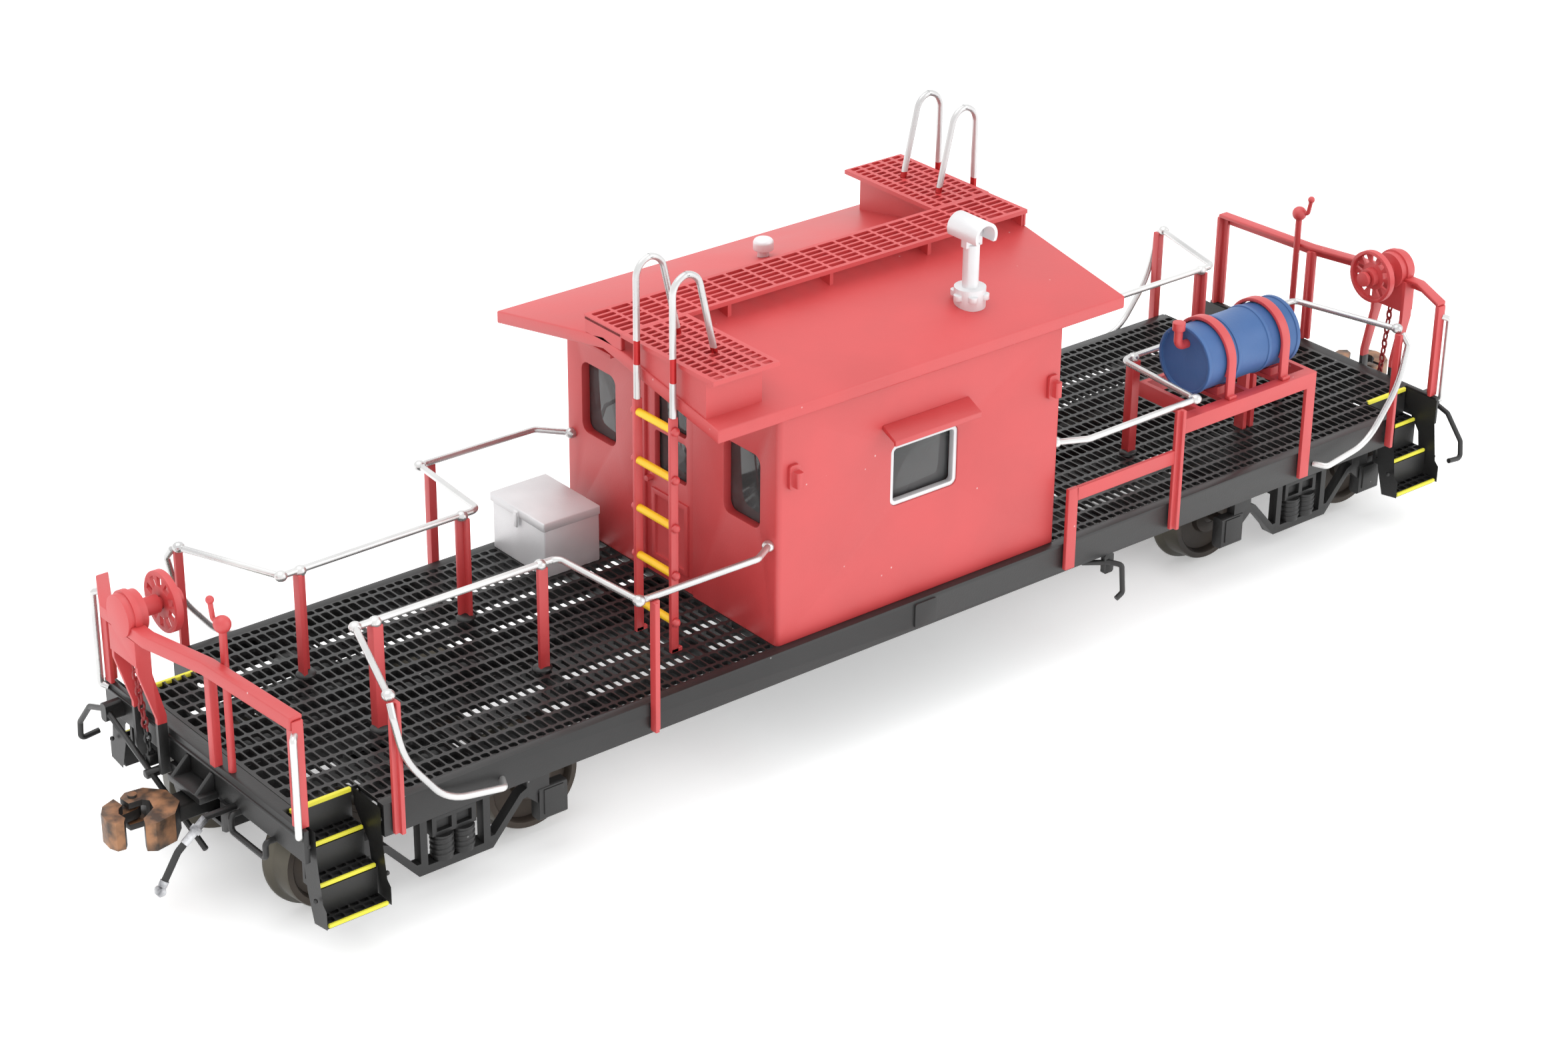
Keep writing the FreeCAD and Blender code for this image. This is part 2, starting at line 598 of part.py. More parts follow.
# ---- roof -------------------------------------------------------------------------------
def roof():
    """Low gabled sheet with a square edge all round."""
    top = [(-ROOF_Y, EAVE_Z), (0, RIDGE_Z), (ROOF_Y, EAVE_Z)]
    low = [(ROOF_Y, EAVE_Z - ROOF_T), (0, RIDGE_Z - ROOF_T), (-ROOF_Y, EAVE_Z - ROOF_T)]
    return plate_yz(top + low, ROOF_X)


def running_board():
    """Ridge walkway on triangular plates, with a closing plate at each end."""
    low = WALK_Z - WALK_T
    body = box(ROOF_X, (-WALK_Y, WALK_Y), (low, WALK_Z))
    thin = 0.25
    span = ROOF_X[1] - ROOF_X[0] - 2 * thin
    bays = 3
    for n in range(bays + 1):
        x = ROOF_X[0] + thin + span * n / bays
        for side in (-1, 1):
            foot = [(side * 0.3, roof_line(0.3)), (side * WALK_Y, roof_line(WALK_Y)),
                    (side * WALK_Y, low), (side * 0.3, low)]
            body = body.fuse(plate_yz(foot, (x - thin, x + thin)))
    keel = box(ROOF_X, (-0.35, 0.35), (RIDGE_Z, low))
    return body.fuse(keel).removeSplitter()


def lateral_platform():
    """Side platform at the roof's end, on a box that follows the slope."""
    x = (ROOF_X[0], ROOF_X[0] + PLATFORM_X)
    low = WALK_Z - WALK_T
    top = box(x, (-PLATFORM_Y, -WALK_Y), (low, WALK_Z))
    inset = 0.9
    outer = PLATFORM_Y - 1.3
    wall = 0.4

    def skirt(y_near, y_far):
        return [(-y_near, roof_line(y_near)), (-y_far, roof_line(y_far)), (-y_far, low), (-y_near, low)]

    for face in (x[0] + 0.2, x[1] - inset):
        top = top.fuse(plate_yz(skirt(WALK_Y + 1.6, outer), (face, face + wall)))
    top = top.fuse(plate_yz(skirt(outer - wall, outer), (x[0] + 0.2, x[1] - inset + wall)))
    return top.removeSplitter()


LADDER_Y = (-10.5, -5.5)
LADDER_X = -26.15
LADDER_TOP = 35.4


def ladder():
    """Upright ladder from the deck to the lateral platform: two angles and five rungs."""
    body = None
    for y in LADDER_Y:
        stile = box((LADDER_X - 0.4, LADDER_X + 0.4), (y - 0.2, y + 0.2), (DECK_Z, LADDER_TOP))
        body = stile if body is None else body.fuse(stile)
        foot = box((LADDER_X - 0.4, LADDER_X + 0.7), (y - 0.2, y + 0.2), (DECK_Z, DECK_Z + 0.5))
        body = body.fuse(foot)
    first = 16.0
    pitch = 4.55
    for n in range(5):
        z = first + pitch * n
        body = body.fuse(cyl(0.36, (LADDER_X, LADDER_Y[0] - 0.5, z), (LADDER_X, LADDER_Y[1] + 0.5, z)))
    return body.removeSplitter()


def roof_hoop(y):
    """Wire hand hold that rises from the ladder and turns over onto the platform."""
    x = LADDER_X
    return rod([(x, y, LADDER_TOP), (x, y, 48.0), (x + 2.6, y, 48.0), (x + 4.4, y, WALK_Z)], WIRE_R, 1.6)


def smoke_jack():
    """Stove pipe in a lobed collar, under a half-round hood open at both ends."""
    at = (7.2, -10.4)
    base = roof_line(at[1]) - 0.25
    collar = cyl(1.45, (*at, base), (*at, base + 1.9))
    lobe_r = 0.45
    lobes = 6
    for n in range(lobes):
        turn = 2 * math.pi * n / lobes
        side = (at[0] + 1.35 * math.cos(turn), at[1] + 1.35 * math.sin(turn))
        collar = collar.fuse(cyl(lobe_r, (*side, base + 0.9), (*side, base + 1.4)))
    pipe = cyl(0.74, (*at, base + 1.9), (*at, 42.8))
    hood = ring(1.3, 1.0, (at[0], at[1] - 1.9, 44.0), (at[0], at[1] + 1.9, 44.0))
    keep = box((at[0] - 2, at[0] + 2), (at[1] - 3, at[1] + 3), (43.4, 46))
    saddle = box((at[0] - 0.95, at[0] + 0.95), (at[1] - 0.35, at[1] + 0.35), (42.6, 44.4))
    slope = collar.cut(gable(ROOF_Y, 0, ROOF_X))
    return fuse(slope, pipe, hood.common(keep), saddle)


def roof_vent():
    """Capped stub on the far slope."""
    at = (-1.0, 8.7)
    base = roof_line(at[1]) - 0.2
    stub = cyl(0.55, (*at, base), (*at, base + 1.4))
    cap = cyl(0.95, (*at, base + 0.9), (*at, base + 2.0))
    rim = [e for e in cap.Edges if e.BoundBox.ZLength < 1e-6 and e.BoundBox.ZMin > base + 1.5]
    cap = cap.makeFillet(0.45, rim)
    return fuse(stub, cap).cut(gable(ROOF_Y, 0, ROOF_X))


# ---- deck fittings ------------------------------------------------------------------------
TOOLBOX = ((-27.0, -20.9), (7.4, 15.5))
TOOLBOX_LID_Z = 17.75


def toolbox_body():
    """Sheet metal box with a hinged lid, beside the cabin door."""
    x, y = TOOLBOX
    case = box(x, y, (DECK_Z, TOOLBOX_LID_Z))
    return case.cut(box((x[0] + 0.4, x[1] - 0.4), (y[0] + 0.4, y[1] - 0.4), (DECK_Z + 0.4, TOOLBOX_LID_Z)))


def toolbox_lid():
    x, y = TOOLBOX
    lap = 0.2
    lid = round_box((x[0] - lap, x[1]), (y[0] - lap, y[1] + lap), (TOOLBOX_LID_Z, TOOLBOX_LID_Z + 0.85),
                    0.15, "Z")
    mid = (y[0] + y[1]) / 2
    hasp = box((x[0] - lap - 0.2, x[0] - lap), (mid - 0.3, mid + 0.3), (TOOLBOX_LID_Z - 1.0,
                                                                        TOOLBOX_LID_Z + 0.6))
    return fuse(lid, hasp)


DRUM_X = (33.3, 45.7)
DRUM_R = 3.37
DRUM_AXIS = (-12.3, 25.0)
STAND_TOP = 21.6


def drum():
    """Steel drum lying along the car, with rolled hoops and raised chimes."""
    y, z = DRUM_AXIS
    x0, x1 = DRUM_X
    body = cyl(DRUM_R - 0.12, (x0 + 0.3, y, z), (x1 - 0.3, y, z))
    for x in (x0, x1 - 0.45):
        body = body.fuse(ring(DRUM_R, DRUM_R - 0.3, (x, y, z), (x + 0.45, y, z)))
    third = (x1 - x0) / 3
    for n in (1, 2):
        body = body.fuse(cyl(DRUM_R, (x0 + third * n - 0.2, y, z), (x0 + third * n + 0.2, y, z)))
    return body.removeSplitter()


def drum_straps():
    """Two steel bands over the drum, each with a bolted foot on the stand."""
    y, z = DRUM_AXIS
    bands = []
    for x in (35.6, 42.9):
        band = ring(DRUM_R + 0.35, DRUM_R, (x, y, z), (x + 1.0, y, z))
        band = band.cut(box((x - 1, x + 2), (y - 6, y + 6), (STAND_TOP - 3, z - 1.2)))
        for side in (-1, 1):
            edge = y + side * (DRUM_R + 0.175)
            leg = box((x, x + 1.0), (edge - 0.175, edge + 0.175), (STAND_TOP, z))
            band = band.fuse(leg)
            foot = sorted((edge, edge + side * 0.5))
            band = band.fuse(box((x, x + 1.0), foot, (STAND_TOP, STAND_TOP + 0.35)))
        bands.append(band.removeSplitter())
    return bands


def drum_stand():
    """Red angle-iron table that carries the drum beside the railing."""
    x0, x1 = 28.6, 47.2
    y0, y1 = -HALF_W - 0.45, -7.9
    low = STAND_TOP - 1.5
    deep = (low, STAND_TOP)
    bar = 0.5
    frame = [box((x0 + 0.7, x1), (y0, y0 + bar), deep)]
    frame.append(box((x0 + 0.7, x1), (y0, y0 + 1.2), (STAND_TOP - 0.4, STAND_TOP)))
    frame.append(box((32.0, x1), (y1 - bar, y1), deep))
    for x in (32.0, 38.5, x1 - bar):
        frame.append(box((x, x + bar), (y0, y1), deep))
    for x in (35.4, 42.7):
        frame.append(box((x, x + 1.4), (y0, y1), (STAND_TOP - 0.4, STAND_TOP)))
    leg = box((x1 - 1.2, x1), (y0, y0 + 0.4), (SILL_Z + 0.4, STAND_TOP))
    back = box((x1 - 1.5, x1), (y1 - bar, y1), (DECK_Z, STAND_TOP))
    heel = box((x1 - 1.5, x1 - 1.0), (y1 - 1.2, y1), (DECK_Z, STAND_TOP))
    toe = box((x1 - bar, x1), (y1 - 1.2, y1), (DECK_Z, STAND_TOP))
    wedges = []
    for x in (35.6, 42.9):
        wedge = box((x, x + 1.0), (DRUM_AXIS[0] - 2.4, DRUM_AXIS[0] + 2.4),
                    (STAND_TOP - 0.2, STAND_TOP + 0.8))
        wedges.append(wedge.cut(cyl(DRUM_R, (x - 1, *DRUM_AXIS), (x + 2, *DRUM_AXIS))))
    drain = cyl(0.4, (42.0, -8.3, STAND_TOP - 2.6), (42.0, -8.3, STAND_TOP - 1.3))
    cock = cyl(0.5, (41.3, -8.3, STAND_TOP - 2.2), (42.7, -8.3, STAND_TOP - 2.2))
    return fuse(*frame, leg, back, heel, toe, drain, cock, *wedges)


def drum_spigot():
    """Filler elbow on the drum's head."""
    x = DRUM_X[0] + 0.3
    y, z = DRUM_AXIS
    elbow = rod([(x, y, z + 1.7), (x - 1.3, y, z + 1.7), (x - 1.3, y, z + 4.2)], 0.42, 0.75)
    return fuse(elbow, cyl(0.62, (x - 1.3, y, z + 3.4), (x - 1.3, y, z + 4.2)))


# ---- trucks -----------------------------------------------------------------------------
def wheelset(x):
    """Axle with two flanged wheels pressed on it."""
    axle = cyl(AXLE_R, (x, -WHEEL_BACK - WHEEL_WIDTH, AXLE_Z), (x, WHEEL_BACK + WHEEL_WIDTH, AXLE_Z))
    tips = cyl(JOURNAL_R, (x, -12.35, AXLE_Z), (x, 12.35, AXLE_Z))
    solids = [axle.fuse(tips).removeSplitter()]
    for side in (-1, 1):
        solids.append(wheel(x, side))
    return group(solids)


def wheel(x, side):
    """Turned wheel: flange, coned tread, thin web and hub."""
    inner = WHEEL_BACK
    outer = WHEEL_BACK + WHEEL_WIDTH
    profile = [(AXLE_R, inner), (2.0, inner), (2.3, inner + 0.5), (3.9, inner + 0.5), (4.1, inner),
               (FLANGE_R - 0.25, inner),
               (FLANGE_R, inner + 0.25), (FLANGE_R - 0.1, inner + 0.55), (TREAD_R + 0.05, inner + 0.85),
               (TREAD_R - 0.1, outer - 0.1),
               (TREAD_R - 0.2, outer), (4.05, outer), (3.85, outer - 0.75), (2.2, outer - 0.75),
               (1.9, outer), (AXLE_R, outer)]
    corners = [vec(r, w, 0) for r, w in profile]
    face = Part.Face(Part.makePolygon(corners + corners[:1]))
    solid = face.revolve(vec(0, 0, 0), vec(0, 1, 0), 360)
    if side < 0:
        solid.rotate(vec(0, 0, 0), vec(1, 0, 0), 180)
    solid.translate(vec(x, 0, AXLE_Z))
    return solid


def side_frame(x, side):
    """Cast sideframe: chords, bolster window, two triangular holes and journal boxes."""
    outline = [(-8.4, 7.9), (-7.2, 8.6), (7.2, 8.6), (8.4, 7.9), (8.4, 5.0), (7.3, 6.0), (6.9, 6.0),
               (3.7, 2.4), (-3.7, 2.4), (-6.9, 6.0),
               (-7.3, 6.0), (-8.4, 5.0)]
    frame = plate_xz(outline, FRAME_Y)
    frame = frame.cut(box((-2.8, 2.8), (10, 14), (3.2, 7.7)))
    chord = plate_xz([(-4.2, 3.2), (-3.7, 2.4), (3.7, 2.4), (4.2, 3.2)], (FRAME_Y[0] - 0.5, FRAME_Y[1]))
    frame = frame.fuse(chord)
    for s in (-1, 1):
        hole = plate_xz([(s * 3.5, 7.7), (s * 7.3, 7.7), (s * 7.3, 6.9), (s * 6.6, 6.6), (s * 3.9, 3.6),
                         (s * 3.5, 3.6)], (10, 14))
        frame = frame.cut(hole)
        journal = round_box((s * HALF_BASE - 1.45, s * HALF_BASE + 1.45), (FRAME_Y[0] - 0.1, JOURNAL_Y),
                            (3.2, 6.4), 0.3, "X")
        lid = box((s * HALF_BASE - 1.0, s * HALF_BASE + 1.0), (FRAME_Y[1], JOURNAL_Y + 0.12), (3.8, 6.2))
        neck = box(sorted((s * 8.0, s * 9.6)), FRAME_Y, (6.0, 7.9))
        frame = frame.fuse(journal).fuse(lid).fuse(neck)
        hole = cyl(JOURNAL_R + RUNNING_GAP, (s * HALF_BASE, 10, AXLE_Z), (s * HALF_BASE, 12.45, AXLE_Z))
        frame = frame.cut(hole)
    frame = frame.removeSplitter()
    if side < 0:
        frame.rotate(vec(0, 0, 0), vec(0, 0, 1), 180)
    frame.translate(vec(x, 0, 0))
    return frame


def truck_bolster(x):
    """Cross beam on its springs, its ends showing in the sideframe windows."""
    half = FRAME_Y[1] - 0.15
    beam = box((x - 2.2, x + 2.2), (-half, half), (5.6, 7.4))
    beam = beam.fuse(box((x - 2.6, x + 2.6), (-FRAME_Y[0] + 0.6, FRAME_Y[0] - 0.6), (6.4, 8.2)))
    beam = beam.fuse(cyl(2.6, (x, 0, 7.4), (x, 0, 8.6)))
    for side in (-1, 1):
        for dx in (-1.0, 1.0):
            pocket = sorted((side * (half - 0.5), side * (half + 0.5)))
            beam = beam.cut(box((x + dx - 0.75, x + dx + 0.75), pocket, (5.95, 7.05)))
            spring = cyl(0.95, (x + dx * 1.05, side * (FRAME_Y[0] + 0.45), 3.25),
                         (x + dx * 1.05, side * (FRAME_Y[0] + 0.45), 5.6))
            beam = beam.fuse(spring)
    hole = cyl(0.9 + RUNNING_GAP, (x, 0, 0), (x, 0, 20))
    recess = cyl(1.9, (x, 0, 5.0), (x, 0, 6.6))
    return beam.cut(hole).cut(recess).removeSplitter()


def kingpin_screw(x):
    """Screw up through the truck bolster into the body bolster."""
    head = cyl(1.5, (x, 0, 5.5), (x, 0, 6.3))
    slot = box((x - 2, x + 2), (-0.2, 0.2), (5.4, 5.8))
    return fuse(head.cut(slot), cyl(0.9, (x, 0, 6.3), (x, 0, 11.4)))


# ---- every node ----------------------------------------------------------------------------
def both_ends(make):
    solid = make()
    return group([solid, turned(solid)])


def build():
    left = -TRUCK_X
    right = TRUCK_X
    end_nodes = {
        "draft_boxes": draft_box, "hose_fittings": hose_fitting, "air_hoses": air_hose,
        "sill_grab_irons": sill_grab_iron, "end_sills": end_sill, "brake_stands": brake_stand,
        "brake_chains": brake_chain,
        "valve_pipes": valve_pipe,
    }
    nodes = {name: both_ends(make) for name, make in end_nodes.items()}
    pairs = {"coupler": coupler, "knuckle": knuckle, "end_rail": end_rail, "brake_wheel": brake_wheel}
    for name, make in pairs.items():
        nodes[name + "_a"] = make()
        nodes[name + "_b"] = turned(make())
    levers = [cut_lever(), turned(cut_lever()), bleed_rod()]
    nodes["cut_levers"] = group(levers)
    nodes["centre_sill"] = centre_sill()
    nodes["cross_bearers"] = group(cross_bearers())
    nodes["side_sills"] = side_sills()
    nodes["deck_a"] = deck(-END_IN, CABIN_X[0], (-END_IN - 1, -SILL_END))
    nodes["deck_b"] = deck(CABIN_X[1], END_IN, (SILL_END, END_IN + 1))
    nodes["cabin_floor"] = cabin_floor()
    nodes["ballast_weight"] = ballast_weight()
    well = step_well()
    nodes["steps_a"] = group([well, mirrored(well)])
    nodes["steps_b"] = group([turned(well), mirrored(turned(well))])
    nodes["end_posts"] = group(end_posts() + [turned(p) for p in end_posts()])
    grab = corner_grab()
    grabs = [grab, mirrored(grab)]
    nodes["corner_grabs"] = group(grabs + [turned(g) for g in grabs])
    nodes["handrails_a"] = group([handrail_a(-1), handrail_a(1)])
    nodes["handrails_b"] = group([handrail_b(-1), handrail_b(1)])
    nodes["rail_posts"] = group(rail_posts())
    nodes["step_grabs"] = group([step_grab(sx, sy) for sx in (-1, 1) for sy in (-1, 1)])
    nodes["cabin_shell"] = cabin_shell()
    nodes["end_doors"] = group([end_door(CABIN_X[0], -1), end_door(CABIN_X[1], 1)])
    nodes["window_panes"] = group(window_panes())
    nodes["side_window_frames"] = group([side_window_frame(-1), side_window_frame(1)])
    nodes["awnings"] = group([awning(-1), awning(1)])
    nodes["marker_brackets"] = group([marker_bracket(x, s) for x in (-17.1, 13.0) for s in (-1, 1)])
    nodes["roof"] = roof()
    nodes["running_board"] = running_board()
    platform = lateral_platform()
    nodes["lateral_platforms"] = group([platform, about_cabin(platform)])
    rungs = ladder()
    nodes["ladders"] = group([rungs, about_cabin(rungs)])
    hoops = [roof_hoop(y) for y in LADDER_Y]
    nodes["roof_hoops"] = group(hoops + [about_cabin(h) for h in hoops])
    nodes["smoke_jack"] = smoke_jack()
    nodes["roof_vent"] = roof_vent()
    nodes["toolbox_body"] = toolbox_body()
    nodes["toolbox_lid"] = toolbox_lid()
    nodes["drum"] = drum()
    nodes["drum_straps"] = group(drum_straps())
    nodes["drum_stand"] = drum_stand()
    nodes["drum_spigot"] = drum_spigot()
    for end, x in (("a", left), ("b", right)):
        nodes["truck_bolster_" + end] = truck_bolster(x)
        nodes["sideframes_" + end] = group([side_frame(x, -1), side_frame(x, 1)])
        nodes["wheelset_" + end + "_outer"] = wheelset(x + math.copysign(HALF_BASE, x))
        nodes["wheelset_" + end + "_inner"] = wheelset(x - math.copysign(HALF_BASE, x))
    nodes["kingpin_screws"] = group([kingpin_screw(left), kingpin_screw(right)])
    return nodes


def export(nodes):
    os.makedirs("parts", exist_ok=True)
    for name, shape in nodes.items():
        shape.exportStep("parts/" + name + ".step")


export(build())
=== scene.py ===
import bmesh
import bpy
import math
from mathutils import Matrix, Vector


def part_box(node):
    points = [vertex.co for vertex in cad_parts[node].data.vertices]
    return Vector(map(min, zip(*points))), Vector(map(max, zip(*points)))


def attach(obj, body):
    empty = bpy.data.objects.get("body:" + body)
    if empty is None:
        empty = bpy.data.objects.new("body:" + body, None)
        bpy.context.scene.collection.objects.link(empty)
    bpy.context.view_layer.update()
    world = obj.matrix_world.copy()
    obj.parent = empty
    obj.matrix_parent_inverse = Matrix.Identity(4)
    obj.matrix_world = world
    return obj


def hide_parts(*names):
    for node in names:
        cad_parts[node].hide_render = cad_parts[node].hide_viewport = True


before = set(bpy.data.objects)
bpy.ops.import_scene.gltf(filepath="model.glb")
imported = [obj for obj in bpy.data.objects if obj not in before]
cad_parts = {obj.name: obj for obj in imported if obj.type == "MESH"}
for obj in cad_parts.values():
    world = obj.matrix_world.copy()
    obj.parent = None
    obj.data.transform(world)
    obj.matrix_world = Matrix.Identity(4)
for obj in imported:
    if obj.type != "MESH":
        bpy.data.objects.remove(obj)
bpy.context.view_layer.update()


# ---- Studio: camera, table and lights ----------------------------------------------------
# A white table under a large soft overhead box, with a weaker fill from the right. The camera
# looks down on the A end corner with a long lens.

azimuth = math.radians(-39.47)
elevation = math.radians(26.80)
roll = math.radians(0.695)
back = Vector((math.sin(azimuth) * math.cos(elevation), -math.cos(azimuth) * math.cos(elevation),
               math.sin(elevation)))
across = Vector((0, 0, 1)).cross(back).normalized()
upward = back.cross(across)
tilted = across * math.cos(roll) + upward * math.sin(roll)
upright = upward * math.cos(roll) - across * math.sin(roll)
lens = bpy.data.cameras.new("camera")
lens.sensor_width = 36
lens.lens = 79.07
lens.clip_start = 0.01
lens.clip_end = 10
camera = bpy.data.objects.new("camera", lens)
turn = Matrix((tilted, upright, back)).transposed().to_4x4()
camera.matrix_world = Matrix.Translation((-0.18507, -0.21828, 0.15775)) @ turn
bpy.context.collection.objects.link(camera)
bpy.context.scene.camera = camera
bpy.context.scene.view_settings.view_transform = "Standard"

table_bm = bmesh.new()
bmesh.ops.create_grid(table_bm, x_segments=1, y_segments=1, size=6)
table_mesh = bpy.data.meshes.new("table")
table_bm.to_mesh(table_mesh)
table_bm.free()
table = bpy.data.objects.new("table", table_mesh)
bpy.context.collection.objects.link(table)
paper = bpy.data.materials.new("white paper")
paper.use_nodes = True
paper_shader = paper.node_tree.nodes["Principled BSDF"]
paper_shader.inputs["Base Color"].default_value = (0.93, 0.935, 0.935, 1)
paper_shader.inputs["Roughness"].default_value = 0.9
paper_shader.inputs["Emission Color"].default_value = (1, 1, 1, 1)
paper_shader.inputs["Emission Strength"].default_value = 0.30
table_mesh.materials.append(paper)

world = bpy.data.worlds.new("soft room")
world.use_nodes = True
sky = world.node_tree.nodes["Background"]
sky.inputs["Color"].default_value = (1, 1, 1, 1)
sky.inputs["Strength"].default_value = 1.25
bpy.context.scene.world = world


def softbox(name, place, size, watts):
    light = bpy.data.lights.new(name, "AREA")
    light.shape = "SQUARE"
    light.size = size
    light.energy = watts
    box = bpy.data.objects.new(name, light)
    aim = Vector((0, 0, 0.02)) - Vector(place)
    box.matrix_world = Matrix.Translation(place) @ aim.to_track_quat("-Z", "Y").to_matrix().to_4x4()
    bpy.context.collection.objects.link(box)


softbox("overhead", (-0.15, 0.15, 0.9), 0.7, 2.5)
softbox("right fill", (0.6, -0.8, 0.45), 0.6, 2.0)


# ---- Sprayed plastic: the finishes -------------------------------------------------------
# The body is moulded plastic under thin sprayed paint: a fine even tooth, faint cloudiness in
# the coat, and specks of dust that settle on it.

tooth = bpy.data.node_groups.new("sprayed coat", "ShaderNodeTree")
tooth.interface.new_socket("Scale", in_out="INPUT", socket_type="NodeSocketFloat")
tooth.interface.new_socket("Relief", in_out="INPUT", socket_type="NodeSocketFloat")
tooth.interface.new_socket("Patches", in_out="INPUT", socket_type="NodeSocketFloat")
tooth.interface.new_socket("Cloud", in_out="OUTPUT", socket_type="NodeSocketFloat")
tooth.interface.new_socket("Speck", in_out="OUTPUT", socket_type="NodeSocketFloat")
tooth.interface.new_socket("Normal", in_out="OUTPUT", socket_type="NodeSocketVector")
given = tooth.nodes.new("NodeGroupInput")
result = tooth.nodes.new("NodeGroupOutput")
place = tooth.nodes.new("ShaderNodeTexCoord")
cloud = tooth.nodes.new("ShaderNodeTexNoise")
cloud.inputs["Detail"].default_value = 4
fine = tooth.nodes.new("ShaderNodeTexNoise")
fine.inputs["Detail"].default_value = 3
bump = tooth.nodes.new("ShaderNodeBump")
bump.inputs["Distance"].default_value = 0.00003
dust = tooth.nodes.new("ShaderNodeTexVoronoi")
dust.inputs["Scale"].default_value = 900
dust_edge = tooth.nodes.new("ShaderNodeMapRange")
dust_edge.inputs["From Min"].default_value = 0.10
dust_edge.inputs["From Max"].default_value = 0.04
thin_out = tooth.nodes.new("ShaderNodeMath")
thin_out.operation = "GREATER_THAN"
thin_out.inputs[1].default_value = 0.93
split = tooth.nodes.new("ShaderNodeSeparateColor")
both = tooth.nodes.new("ShaderNodeMath")
both.operation = "MULTIPLY"
tooth.links.new(place.outputs["Object"], cloud.inputs["Vector"])
tooth.links.new(place.outputs["Object"], fine.inputs["Vector"])
tooth.links.new(place.outputs["Object"], dust.inputs["Vector"])
tooth.links.new(given.outputs["Scale"], fine.inputs["Scale"])
tooth.links.new(given.outputs["Patches"], cloud.inputs["Scale"])
tooth.links.new(given.outputs["Relief"], bump.inputs["Strength"])
tooth.links.new(fine.outputs["Fac"], bump.inputs["Height"])
tooth.links.new(dust.outputs["Distance"], dust_edge.inputs["Value"])
tooth.links.new(dust.outputs["Color"], split.inputs["Color"])
tooth.links.new(split.outputs["Red"], thin_out.inputs[0])
tooth.links.new(dust_edge.outputs["Result"], both.inputs[0])
tooth.links.new(thin_out.outputs["Value"], both.inputs[1])
tooth.links.new(cloud.outputs["Fac"], result.inputs["Cloud"])
tooth.links.new(both.outputs["Value"], result.inputs["Speck"])
tooth.links.new(bump.outputs["Normal"], result.inputs["Normal"])


def coat(name, dark, light, rough, metal=0.0, scale=5200, relief=0.35, speck=(0.7, 0.7, 0.7), specks=0.5,
         specular=0.5, patches=95, dipped=None):
    """One sprayed finish: its colour drifts between two tones, with dust specks over it.

    dipped is a second colour, the heights it lies between, and how far its edges wander."""
    made_of = bpy.data.materials.new(name)
    made_of.use_nodes = True
    tree = made_of.node_tree
    shader = tree.nodes["Principled BSDF"]
    shader.inputs["Metallic"].default_value = metal
    shader.inputs["Specular IOR Level"].default_value = specular
    surface = tree.nodes.new("ShaderNodeGroup")
    surface.node_tree = tooth
    surface.inputs["Scale"].default_value = scale
    surface.inputs["Relief"].default_value = relief
    surface.inputs["Patches"].default_value = patches
    tones = tree.nodes.new("ShaderNodeValToRGB")
    tones.color_ramp.elements[0].position = 0.36
    tones.color_ramp.elements[0].color = (*dark, 1)
    tones.color_ramp.elements[1].position = 0.64
    tones.color_ramp.elements[1].color = (*light, 1)
    dusty = tree.nodes.new("ShaderNodeMix")
    dusty.data_type = "RGBA"
    dusty.inputs["B"].default_value = (*speck, 1)
    amount = tree.nodes.new("ShaderNodeMath")
    amount.operation = "MULTIPLY"
    amount.inputs[1].default_value = specks
    sheen = tree.nodes.new("ShaderNodeMapRange")
    sheen.inputs["From Min"].default_value = 0.3
    sheen.inputs["From Max"].default_value = 0.7
    sheen.inputs["To Min"].default_value = rough - 0.06
    sheen.inputs["To Max"].default_value = rough + 0.06
    tree.links.new(surface.outputs["Cloud"], tones.inputs["Fac"])
    tree.links.new(surface.outputs["Cloud"], sheen.inputs["Value"])
    tree.links.new(surface.outputs["Speck"], amount.inputs[0])
    tree.links.new(amount.outputs["Value"], dusty.inputs["Factor"])
    tree.links.new(tones.outputs["Color"], dusty.inputs["A"])
    if dipped:
        colour, low, high, wander = dipped
        where = tree.nodes.new("ShaderNodeTexCoord")
        split_up = tree.nodes.new("ShaderNodeSeparateXYZ")
        drift = tree.nodes.new("ShaderNodeTexNoise")
        drift.inputs["Scale"].default_value = 700
        line = tree.nodes.new("ShaderNodeMath")
        line.operation = "MULTIPLY_ADD"
        line.inputs[1].default_value = wander
        band = tree.nodes.new("ShaderNodeMath")
        band.operation = "COMPARE"
        band.inputs[1].default_value = (low + high + wander) / 2
        band.inputs[2].default_value = (high - low) / 2
        covered = tree.nodes.new("ShaderNodeMix")
        covered.data_type = "RGBA"
        covered.inputs["B"].default_value = (*colour, 1)
        tree.links.new(where.outputs["Object"], split_up.inputs["Vector"])
        tree.links.new(where.outputs["Object"], drift.inputs["Vector"])
        tree.links.new(drift.outputs["Fac"], line.inputs[0])
        tree.links.new(split_up.outputs["Z"], line.inputs[2])
        tree.links.new(line.outputs["Value"], band.inputs[0])
        tree.links.new(band.outputs["Value"], covered.inputs["Factor"])
        tree.links.new(dusty.outputs["Result"], covered.inputs["A"])
        dusty = covered
    tree.links.new(dusty.outputs["Result"], shader.inputs["Base Color"])
    tree.links.new(sheen.outputs["Result"], shader.inputs["Roughness"])
    tree.links.new(surface.outputs["Normal"], shader.inputs["Normal"])
    return made_of


